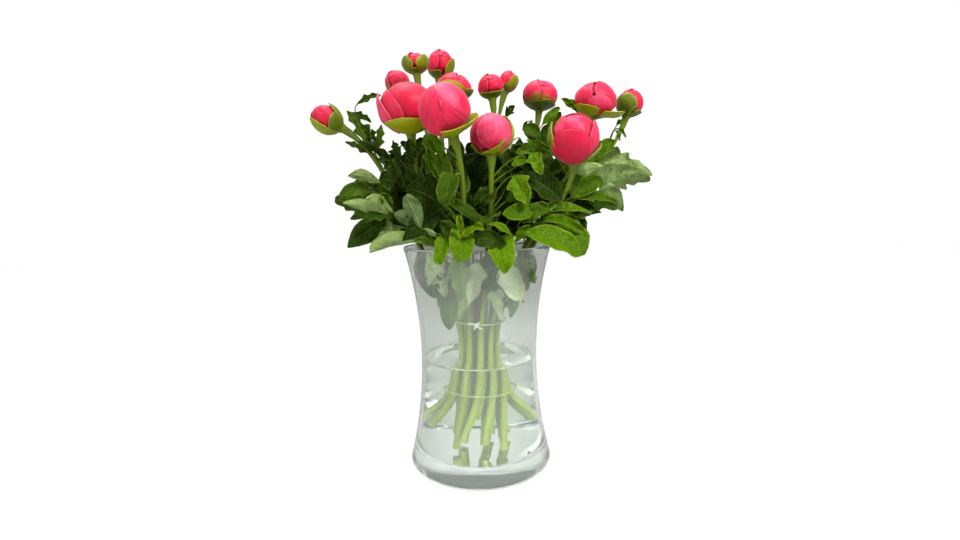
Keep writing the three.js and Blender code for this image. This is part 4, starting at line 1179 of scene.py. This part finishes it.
def leaflet(line, root, tip, half, outline, slant, seed, tone):
    """One leaflet, laid on its frond from root to tip, each given as along and across in millimetres."""
    root, tip = Vector(root), Vector(tip)
    ahead = tip - root
    length = ahead.length
    ahead.normalize()
    sideways = Vector((-ahead.y, ahead.x))
    fold = 0.22 + 0.16 * noise.noise(Vector((seed, 3.7, 0)))
    curl = 0.16 + 0.14 * noise.noise(Vector((seed, 9.1, 0)))

    def place(u, v):
        v = (v + 1) / 2
        width = along_table(LEAFLET_OUTLINES[outline], v) * half
        forward = length * v + slant * abs(u) * width * (1 - v)
        flat = root + ahead * forward + sideways * (u * width)
        wave = noise.noise(Vector((seed + v * 3.2, u * 1.4, seed * 0.7))) * 4.0
        ruffle = math.sin(v * 17 + seed * 5 + u) * 0.055 * half * u * u
        rise = fold * abs(u) * width * 0.8 + wave * (0.3 + abs(u)) * eased(v * 4) + ruffle
        rise -= curl * length * v * v * v * 0.5
        return line.place(flat.x, flat.y, rise) * MM

    # a cut edge needs more rows of faces than a smooth one
    rows = 26 if outline in ("lobed", "cut", "tri") else 16
    return blade(8, rows, place, tone=tone)


def frond_leaflets(name, frond, seed):
    """The leaflets of one frond: one, or three where its kind is three or a sprig."""
    start, tip, arch, half, face, kind, tone = frond
    line = FrondLine(stem_point(name, start), tip, arch, face)
    length = line.length
    if kind in LEAFLET_OUTLINES:
        slant = 0.9 if kind == "lobed" else 0.15
        return [leaflet(line, (0, 0), (length, 0), half, kind, slant, seed, tone)]
    outlines = ("cut", "cut") if kind == "sprig" else ("lobed", "lance")
    parts = [leaflet(line, (0.02 * length, 0), (length, 0), half * 0.98, outlines[0], 0.9, seed, tone)]
    for way in (1, -1):
        reach = (0.42 * length, way * half * 2.1)
        parts.append(leaflet(line, (0.01 * length, way * 0.5), reach, half * 0.62, outlines[1], 0.4,
                             seed + way * 0.37, tone + 0.07 * way))
    return parts


def seen(pixel, depth):
    """The place that the photograph shows at a pixel, at a depth along y, and the size of a pixel there."""
    lean, dip = math.radians(CAMERA_LEAN), math.radians(CAMERA_DIP)
    right, down = pixel[0] - PHOTO_WIDTH / 2, pixel[1] - PHOTO_HEIGHT / 2
    across = math.cos(lean) * right + math.sin(lean) * down
    below = math.cos(lean) * down - math.sin(lean) * right
    ahead = math.cos(dip) * FOCAL - math.sin(dip) * below
    rise = -math.sin(dip) * FOCAL - math.cos(dip) * below
    scale = (depth - CAMERA_AT[1]) / ahead
    return (CAMERA_AT[0] + across * scale, depth, CAMERA_AT[2] + rise * scale), scale


def seen_leaflets(name):
    """The leaflets of a stem that LEAFLETS holds, as rows of: the height where the stalk leaves the stem,
    root, tip, arch, half width, face, outline and tone. Places are to the whole millimetre."""
    rows = []
    highest = stem_line(name)[0][4].z - 14
    for row in LEAFLETS.get(name, ()):
        root_pixel, root_depth, tip_pixel, tip_depth, half, arch, face, outline, tone = row
        root, root_scale = seen(root_pixel, root_depth)
        tip, tip_scale = seen(tip_pixel, tip_depth)
        start = root[2] - STALK_DROP
        if root[2] > LOWEST_LEAF and start < LOWEST_LEAF - 4:
            start = LOWEST_LEAF
        while start > highest:
            start -= 10
        width = round(half * (root_scale + tip_scale) / 2, 1)
        rows.append((round(start), tuple(map(round, root)), tuple(map(round, tip)), arch, width, face,
                     outline, tone))
    return rows


def filler_leaflets(name):
    """Dark leaflets deep in the bunch, which close it between the ones that are seen whole. Their dark tone
    is painted shade.
    """
    left, right, front, back, ceiling = -84, 100, -44, 92, 354
    order = BUD_ORDER.index(name)
    top = stem_line(name)[0][4].z - 12
    rows = []
    for k in range(FILLERS):
        seed = order * 11.3 + k * 2.7
        draw = [0.5 + 0.95 * noise.noise(Vector((seed, 5.1 * j + 0.4, 1.7 * j))) for j in range(6)]
        start = 247 + k * 70 / FILLERS
        if start > top:
            continue
        away = math.radians(360 * (k * 0.382 + order * 0.21 + 0.2 * draw[0]))
        root = stem_point(name, start) + Vector((math.cos(away) * 9, math.sin(away) * 9, 9))
        root.y = max(front + 10, root.y)
        root.x = max(left + 12, min(right - 12, root.x))
        lead = Vector((math.cos(away), math.sin(away) * 0.8, 0.25 + 0.6 * draw[1]))
        tip = root + lead * (30 + 22 * draw[2])
        tip.x = max(left, min(right, tip.x))
        tip.y = max(front, min(back, tip.y))
        tip.z = min(ceiling, tip.z)
        face = (50 + 35 * draw[3]) * (1 if root.y < 24 else -1)
        outline = ("lobed", "oval", "lance")[(order + k) % 3]
        rows.append((start, tuple(root), tuple(tip), 4 + 5 * draw[4], 9 + 4 * draw[5], face, outline,
                     0.02 + 0.16 * draw[0]))
    return rows


def leaflets_of(name):
    """The rows of all leaflets that grow on a stem one by one, the seen ones first."""
    return seen_leaflets(name) + filler_leaflets(name)


class PEONY_OT_leaves(bpy.types.Operator):
    """Makes the compound leaves on each stem"""
    bl_idname = "peony.leaves"
    bl_label = "Leaves"

    def execute(self, context):
        look = context.scene.peony_leaf
        sides = [peony_leaf("upper"), peony_leaf("under")]
        for index, (name, fronds) in enumerate(FRONDS.items()):
            blades = []
            for k, frond in enumerate(fronds):
                blades += frond_leaflets(name, frond, index * 3.1 + k * 1.7 + 0.5)
            for k, row in enumerate(leaflets_of(name)):
                _start, root, tip, arch, half, face, outline, tone = row
                seed = index * 5.3 + k * 2.3 + 0.9
                roll = noise.noise(Vector((seed, 0.3, 7)))
                line = FrondLine(Vector(root), tip, arch, face, bare=0.0, roll=roll)
                slant = 0.9 if outline == "lobed" else 0.25
                blades.append(leaflet(line, (0, 0), (line.length, 0), half, outline, slant, seed, tone))
            piece = joined(blades, "leaves_" + name)
            for side in sides:
                piece.data.materials.append(side)
            apply_modifier(piece, "SOLIDIFY", thickness=look.blade, offset=0, material_offset=1,
                           material_offset_rim=0)
            settle(piece, "leaf", sides, "leafy_stem_" + name)
        return {"FINISHED"}


# ---- Buds ----

def compass(lat, turn):
    """The direction at a latitude and turn on a bud that stands tip up; turn 0 faces the front."""
    lat, turn = math.radians(lat), math.radians(turn)
    return Vector((math.cos(lat) * math.sin(turn), -math.cos(lat) * math.cos(turn), math.sin(lat)))


def bud_matrix(bud, points):
    """Sets a bud in its place, with its tip the way it points."""
    tipward = Vector(points).normalized()
    return Matrix.Translation(Vector(bud["at"])) @ UP.rotation_difference(tipward).to_matrix().to_4x4()


def on_bud(bud, way, height):
    """The place at a height above the bud's egg in a direction, before the bud is set in its place."""
    return Vector((way.x * bud["across"], way.y * bud["across"], way.z * bud["along"])) + way * height


# The petals of a bud: latitude and turn of the middle, reach to each side, up and down in degrees, height
# above the bud's own egg in millimetres, how much one side lies over the next, how light it is, how olive its
# foot is, how pointed its upper end is, and how far its upper rim stands away.
def default_coat(bud, start, tone, olive):
    """A small bud's petals: three inner ones over its tip, and the outer ones side by side round it."""
    count = bud["petals"]
    coat = [(70, start + 40 + 120 * k, 60, 54, 40, -2.1 + 0.3 * k, 0.3, tone + 0.1, 0, 0.0, 0)
            for k in range(3)]
    for k in range(count):
        coat.append((-8 + 14 * (k % 2), start + 360 * k / count, 230 / count, 84, 56, -1.2 + 0.3 * k, 0.6,
                     tone + 0.14 * math.sin(5 * k + start), olive, 0.62, 0))
    return coat


BLOOM = {
    "left_low": dict(start=-20, tone=0.3, olive=0.3),
    "left_big": dict(coat=(
        (0, 180, 95, 88, 60, -1.2, 0, 0.2, 0, 0.5, 0),
        (5, 84, 62, 86, 60, -0.7, 0, 0.2, 0, 0.5, 0),
        (18, 8, 72, 62, 72, -0.1, 0.3, 0.12, 0, 0.35, 0),
        (60, -60, 70, 50, 50, -0.5, 0, 0.45, 0, 0.2, 0),
        (-14, -56, 50, 56, 44, 0.6, 0, 0.3, 0, 0.3, 0.6),
        (-22, -80, 42, 56, 46, 2.8, -1.6, 0.6, 0.2, 0.4, 3.0),
    )),
    "centre_big": dict(points=(-0.31, -0.54, 0.78), coat=(
        (0, 180, 95, 100, 60, -1.4, 0, 0.3, 0, 0.2, 0),
        (0, -125, 55, 92, 60, -1.0, 0, 0.3, 0, 0.5, 0),
        (-4, -60, 62, 92, 60, -0.5, 0, 0.42, 0, 0.4, 0),
        (-2, 62, 66, 92, 60, 0.0, -0.2, 0.62, 0, 0.35, 0),
        (-34, -5, 47, 112, 46, 0.5, 0, 0.36, 0, 0.8, 0),
    )),
    "middle": dict(coat=(
        (0, 180, 95, 88, 60, -1.3, 0, 0.4, 0, 0.4, 0),
        (62, -30, 60, 56, 56, -1.6, 0, 0.4, 0, 0.0, 0),
        (2, -84, 84, 86, 60, -0.8, 0, 0.3, 0.1, 0.4, 0),
        (0, 34, 76, 90, 62, -0.2, 0.2, 0.75, 0.35, 0.45, 0),
    )),
    "right_open": dict(points=(0.02, -0.35, 0.93), coat=(
        (0, 180, 95, 84, 60, -1.4, 0, 0.3, 0, 0.4, 0.6),
        (64, 10, 70, 56, 56, -2.0, 0, 0.4, 0, 0.0, 0),
        (24, 0, 62, 52, 70, -1.3, 0, 0.45, 0, 0.2, 0),
        (16, -88, 52, 44, 60, -0.8, 0, 0.4, 0, 0.25, 1.2),
        (14, -34, 48, 46, 60, -0.3, 0.2, 0.55, 0, 0.1, 0.4),
        (2, 66, 46, 46, 52, 0.0, -0.4, 0.5, 0, 0.35, 1.4),
        (-10, -18, 47, 40, 52, 2.4, 0, 0.2, 0, 0.0, 0),
    )),
    "top_green": dict(start=10, tone=0.5, olive=0.2),
    "top_back": dict(start=30, tone=0.35, olive=0.0),
    "left_behind": dict(start=0, tone=0.35, olive=0.9),
    "behind_centre": dict(start=40, tone=0.45, olive=0.3),
    "small_mid": dict(start=20, tone=0.4, olive=0.3),
    "small_back": dict(start=60, tone=0.45, olive=0.1),
    "right_mid": dict(start=20, tone=0.45, olive=0.9),
    "right_back": dict(coat=(
        (0, 180, 95, 88, 60, -1.2, 0, 0.3, 0, 0.5, 0),
        (70, 10, 70, 56, 56, -2.0, 0, 0.45, 0, 0.0, 0),
        (4, 96, 56, 84, 60, -0.8, 0, 0.4, 0.2, 0.5, 0.6),
        (2, -78, 58, 84, 60, -0.4, 0.2, 0.4, 0.2, 0.5, 0),
        (24, 34, 46, 54, 60, -0.1, 0, 0.45, 0.2, 0.1, 0.9),
        (-18, 6, 34, 26, 40, 0.7, 0, 0.75, 0.5, 0.0, 0.6),
    )),
    "far_right": dict(start=0, tone=0.45, olive=0.5),
}


class Petal:
    """One petal: a cap of the egg, with one side over its neighbour and a slightly rolled rim."""

    def __init__(self, spec, seed):
        (lat, turn, self.wide, self.up, self.down, self.lift, self.skew, self.tone, self.olive, self.taper,
         self.away) = spec
        self.seed = seed
        self.middle = compass(lat, turn)
        self.east = compass(0, turn + 90)
        self.north = self.middle.cross(self.east)

    def way(self, x, y):
        """The direction from the bud's middle at a place on the petal's disc."""
        sideways = x * self.wide * (1 - self.taper * max(0.0, y) ** 1.3)
        upward = y * (self.up if y > 0 else self.down)
        reach = math.radians(math.hypot(sideways, upward))
        bearing = math.atan2(sideways, upward)
        heading = self.north * math.cos(bearing) + self.east * math.sin(bearing)
        return self.middle * math.cos(reach) + heading * math.sin(reach)

    def disc(self, way):
        """The place on the petal's disc that a direction meets: beyond 1 from the middle it is off it."""
        reach = math.degrees(math.acos(max(-1.0, min(1.0, self.middle.dot(way)))))
        bearing = math.atan2(way.dot(self.east), way.dot(self.north))
        upward = reach * math.cos(bearing)
        y = upward / (self.up if upward > 0 else self.down)
        narrow = 1 - self.taper * max(0.0, min(1.0, y)) ** 1.3
        return reach * math.sin(bearing) / (self.wide * max(0.05, narrow)), y

    def height(self, x, y, way):
        """How far the petal stands off the bud's egg at a place on its disc, in millimetres."""
        rim = math.hypot(x, y)
        ripple = noise.noise(way * 2.6) * 0.6
        tuck = -1.3 * eased((-way.z - 0.4) / 0.35)
        frill = noise.noise(way * 4.5 + Vector((self.seed, 4, 0))) * 0.35 * eased((rim - 0.75) / 0.25)
        return (self.lift + tuck + self.skew * x + ripple + frill + 0.3 * eased((rim - 0.88) / 0.12)
                + self.away * eased((y - 0.1) / 0.9) ** 1.5)


PETAL_GRID = 26  # faces along each side of a petal
FOLD_SHADE_END = 1.24  # the painted fold shade fades out this far from the middle of the petal above, its rim being 1
FOLD_SHADE_WIDTH = 0.24


def rounded(u, v):
    """A place on a square, each way from -1 to 1, brought onto the disc inside it."""
    return u * math.sqrt(1 - v * v / 2), v * math.sqrt(1 - u * u / 2)


def seam_depth(own, petals, x, y):
    """How much painted shade a place of a petal gets where it lies in the fold under the others, from 0 to 1.
    """
    way = own.way(x, y)
    height = own.height(x, y, way)
    depth = 0.0
    for other in petals:
        if other is own:
            continue
        other_x, other_y = other.disc(way)
        far = math.hypot(other_x, other_y)
        if far < FOLD_SHADE_END and other.height(other_x / max(1, far), other_y / max(1, far), way) > height:
            depth = max(depth, min(1.0, (FOLD_SHADE_END - far) / FOLD_SHADE_WIDTH))
    return depth


def wrapped(bud, matrix, petals):
    """The blades of a bud's petals. Each is given painted shade where it goes under the rim of another."""
    blades = []
    for own in petals:

        def place(u, v):
            x, y = rounded(u, v)
            way = own.way(x, y)
            return matrix @ on_bud(bud, way, own.height(x, y, way)) * MM

        piece = blade(PETAL_GRID, PETAL_GRID, place, tone=own.tone, olive=own.olive)
        seam = piece.data.attributes.new("seam", "FLOAT", "POINT")
        side, half = PETAL_GRID + 1, PETAL_GRID / 2
        for index in range(len(piece.data.vertices)):
            x, y = rounded(-1 + index % side / half, -1 + index // side / half)
            seam.data[index].value = seam_depth(own, petals, x, y)
        blades.append(piece)
    return blades


class PEONY_OT_petals(bpy.types.Operator):
    """Makes the petals that wrap each bud"""
    bl_idname = "peony.petals"
    bl_label = "Petals"

    def execute(self, context):
        look = context.scene.peony_bloom
        for index, (name, bud) in enumerate(BUDS.items()):
            bloom = dict(BLOOM[name])
            matrix = bud_matrix(bud, bloom.pop("points", bud["points"]))
            coat = bloom.get("coat") or default_coat(bud, **bloom)
            petals = [Petal(spec, index * 7.3 + k * 1.9) for k, spec in enumerate(coat)]
            piece = joined(wrapped(bud, matrix, petals), "petals_" + name)
            apply_modifier(piece, "SOLIDIFY", thickness=look.petal, offset=0)
            deselect()
            bpy.ops.mesh.primitive_uv_sphere_add(segments=32, ring_count=20, radius=1)
            core = bpy.context.active_object
            for vertex in core.data.vertices:
                vertex.co = matrix @ on_bud(bud, vertex.co.normalized(), -2.9) * MM
            # the core is painted dark with the fold shade, as painted shade deep inside the bud between its
            # petals
            mark(core, tone=0.1, olive=0.0, seam=0.7)
            piece = joined([piece, core], "petals_" + name)
            settle(piece, "petal", [peony_petal()], "bud_" + name)
        return {"FINISHED"}


SEPAL_OUTLINE = ((0, 0.35), (0.25, 0.72), (0.55, 1.0), (0.8, 0.86), (0.93, 0.52), (1, 0.12))


def sepal(bud, matrix, turn, wide, reach, away, tone, lift, seed):
    """One sepal: it rises from the stem round the bud, cupped, widest past its middle, with a blunt tip."""

    def place(u, v):
        v = (v + 1) / 2
        lat = -86 + (reach - 4) * v
        width = wide * along_table(SEPAL_OUTLINE, v)
        middle = compass(lat, turn)
        east = compass(0, turn + 90)
        angle = math.radians(u * width) * (0.35 + 0.65 * eased(v * 2.2))
        way = middle * math.cos(angle) + east * math.sin(angle)
        ripple = noise.noise(way * 2.2 + Vector((seed, 0, 0))) * 0.5
        height = lift * (1 - 0.5 * eased((-way.z - 0.45) / 0.35)) + 0.2 * abs(u) + ripple
        height += away * eased((v - 0.3) / 0.7) ** 1.4
        return matrix @ on_bud(bud, way, height) * MM

    return blade(12, 14, place, tone=tone)


def calyx(bud, matrix):
    """The green cup where the stem widens into the bud, beneath the sepals."""

    def place(u, v):
        way = compass(-89 + 30 * (v + 1) / 2, 180 * u)
        return matrix @ on_bud(bud, way, 0.6 - 1.2 * eased((v - 0.4) / 0.6)) * MM

    return blade(24, 6, place, tone=0.35)


class PEONY_OT_sepals(bpy.types.Operator):
    """Makes the sepals that cup each bud from below"""
    bl_idname = "peony.sepals"
    bl_label = "Sepals"

    def execute(self, context):
        look = context.scene.peony_bloom
        for index, (name, bud) in enumerate(BUDS.items()):
            matrix = bud_matrix(bud, bud["points"])
            lift = LOOSE_SEPAL_LIFT if name in LOOSE_SEPALS else SEPAL_LIFT
            sepals = [sepal(bud, matrix, *row, lift, index * 2.3 + k) for k, row in enumerate(SEPALS[name])]
            sepals.append(calyx(bud, matrix))
            piece = joined(sepals, "sepals_" + name)
            apply_modifier(piece, "SOLIDIFY", thickness=look.sepal, offset=0)
            settle(piece, "leaf", [peony_sepal()], "leafy_stem_" + name)
        return {"FINISHED"}


# ---- Stage ----

class PEONY_OT_stage(bpy.types.Operator):
    """Lays the floor, hangs the soft lights and sets up the camera"""
    bl_idname = "peony.stage"
    bl_label = "Studio"

    def execute(self, context):
        look = context.scene.peony_stage
        deselect()
        bpy.ops.mesh.primitive_plane_add(size=8, location=(0, 0, -0.0003))
        bpy.ops.object.transform_apply()
        floor = context.active_object
        floor.name = "studio_sheet"
        floor.data.materials.append(studio_floor())

        world = bpy.data.worlds.new("white_studio")
        world.use_nodes = True
        tree = world.node_tree
        tree.nodes.clear()
        # plain white behind the bunch; the room round it is grey, lighter behind, and paler
        # where it is seen through the glass
        way = add(tree, "ShaderNodeTexCoord").outputs["Generated"]
        parts = add(tree, "ShaderNodeSeparateXYZ", {0: way})
        behind = add(tree, "ShaderNodeMapRange", {"Value": parts.outputs[1], "From Min": 0.35,
                                                  "From Max": 0.95})
        room = add(tree, "ShaderNodeValToRGB", {0: behind.outputs[0]},
                   stops=[(0.0, (0.3, 0.31, 0.3)), (1.0, (0.86, 0.88, 0.87))]).outputs[0]
        soft = mixed(tree, behind.outputs[0], (0.19, 0.2, 0.14, 1), (0.8, 0.82, 0.74, 1))
        through = add(tree, "ShaderNodeValToRGB", {0: behind.outputs[0]},
                      stops=[(0.0, (0.5, 0.52, 0.51)), (1.0, (0.9, 0.92, 0.91))]).outputs[0]
        ray = add(tree, "ShaderNodeLightPath")
        room = mixed(tree, ray.outputs["Is Transmission Ray"], room, through)
        room = mixed(tree, ray.outputs["Is Diffuse Ray"], room, soft)
        colour = mixed(tree, ray.outputs["Is Camera Ray"], room, (1.1, 1.1, 1.1, 1))
        light = add(tree, "ShaderNodeBackground", {0: colour, 1: look.sky})
        add(tree, "ShaderNodeOutputWorld", {0: light.outputs[0]})
        context.scene.world = world

        for name, place, target, size, power in (
                ("key", (0.6, -0.8, 1.15), (0, 0, 0.36), 0.5, look.key),
                ("top", (-0.2, 0.1, 1.4), (0, 0, 0.36), 0.7, look.key * 0.55),
                ("fill", (-1.0, -0.8, 0.6), (0, 0, 0.3), 0.8, look.key * 0.36)):
            lamp = bpy.data.lights.new(name, "AREA")
            lamp.shape = "DISK"
            lamp.size = size
            lamp.energy = power
            holder = bpy.data.objects.new(name, lamp)
            aim = (Vector(target) - Vector(place)).to_track_quat("-Z", "Y")
            holder.matrix_world = Matrix.Translation(Vector(place)) @ aim.to_matrix().to_4x4()
            context.scene.collection.objects.link(holder)

        camera = bpy.data.cameras.new("camera")
        camera.sensor_width = 36
        camera.lens = camera.sensor_width * FOCAL / PHOTO_WIDTH
        camera.clip_start = 0.01
        holder = bpy.data.objects.new("camera", camera)
        holder.matrix_world = (Matrix.Translation([value * MM for value in CAMERA_AT])
                               @ Matrix.Rotation(math.radians(90 - CAMERA_DIP), 4, "X")
                               @ Matrix.Rotation(math.radians(CAMERA_LEAN), 4, "Z"))
        context.scene.collection.objects.link(holder)
        context.scene.camera = holder
        context.scene.view_settings.view_transform = "Standard"
        return {"FINISHED"}


class PEONY_PT_sidebar(bpy.types.Panel):
    """Lists the pieces of the bunch"""
    bl_idname = "PEONY_PT_sidebar"
    bl_label = "Peonies in a vase"
    bl_space_type = "VIEW_3D"
    bl_region_type = "UI"
    bl_category = "Peonies"

    def draw(self, context):
        for operator in OPERATORS:
            self.layout.operator(operator.bl_idname)
        for settings in SETTINGS:
            group = getattr(context.scene, settings)
            for name in SETTINGS[settings].__annotations__:
                self.layout.prop(group, name)


SETTINGS = {
    "peony_vase": PeonyVaseSettings,
    "peony_bloom": PeonyBloomSettings,
    "peony_leaf": PeonyLeafSettings,
    "peony_stage": PeonyStageSettings,
}
OPERATORS = (PEONY_OT_stage, PEONY_OT_vase, PEONY_OT_water, PEONY_OT_ties, PEONY_OT_stems, PEONY_OT_leaves,
             PEONY_OT_sepals, PEONY_OT_petals)


def register():
    for settings in SETTINGS.values():
        bpy.utils.register_class(settings)
    for operator in OPERATORS:
        bpy.utils.register_class(operator)
    bpy.utils.register_class(PEONY_PT_sidebar)
    for name, settings in SETTINGS.items():
        setattr(bpy.types.Scene, name, bpy.props.PointerProperty(type=settings))


def unregister():
    for name in SETTINGS:
        delattr(bpy.types.Scene, name)
    bpy.utils.unregister_class(PEONY_PT_sidebar)
    for operator in reversed(OPERATORS):
        bpy.utils.unregister_class(operator)
    for settings in SETTINGS.values():
        bpy.utils.unregister_class(settings)


def main():
    register()
    bpy.ops.peony.stage()
    bpy.ops.peony.vase()
    bpy.ops.peony.water()
    bpy.ops.peony.ties()
    bpy.ops.peony.stems()
    bpy.ops.peony.leaves()
    bpy.ops.peony.sepals()
    bpy.ops.peony.petals()


if __name__ == "__main__":
    main()
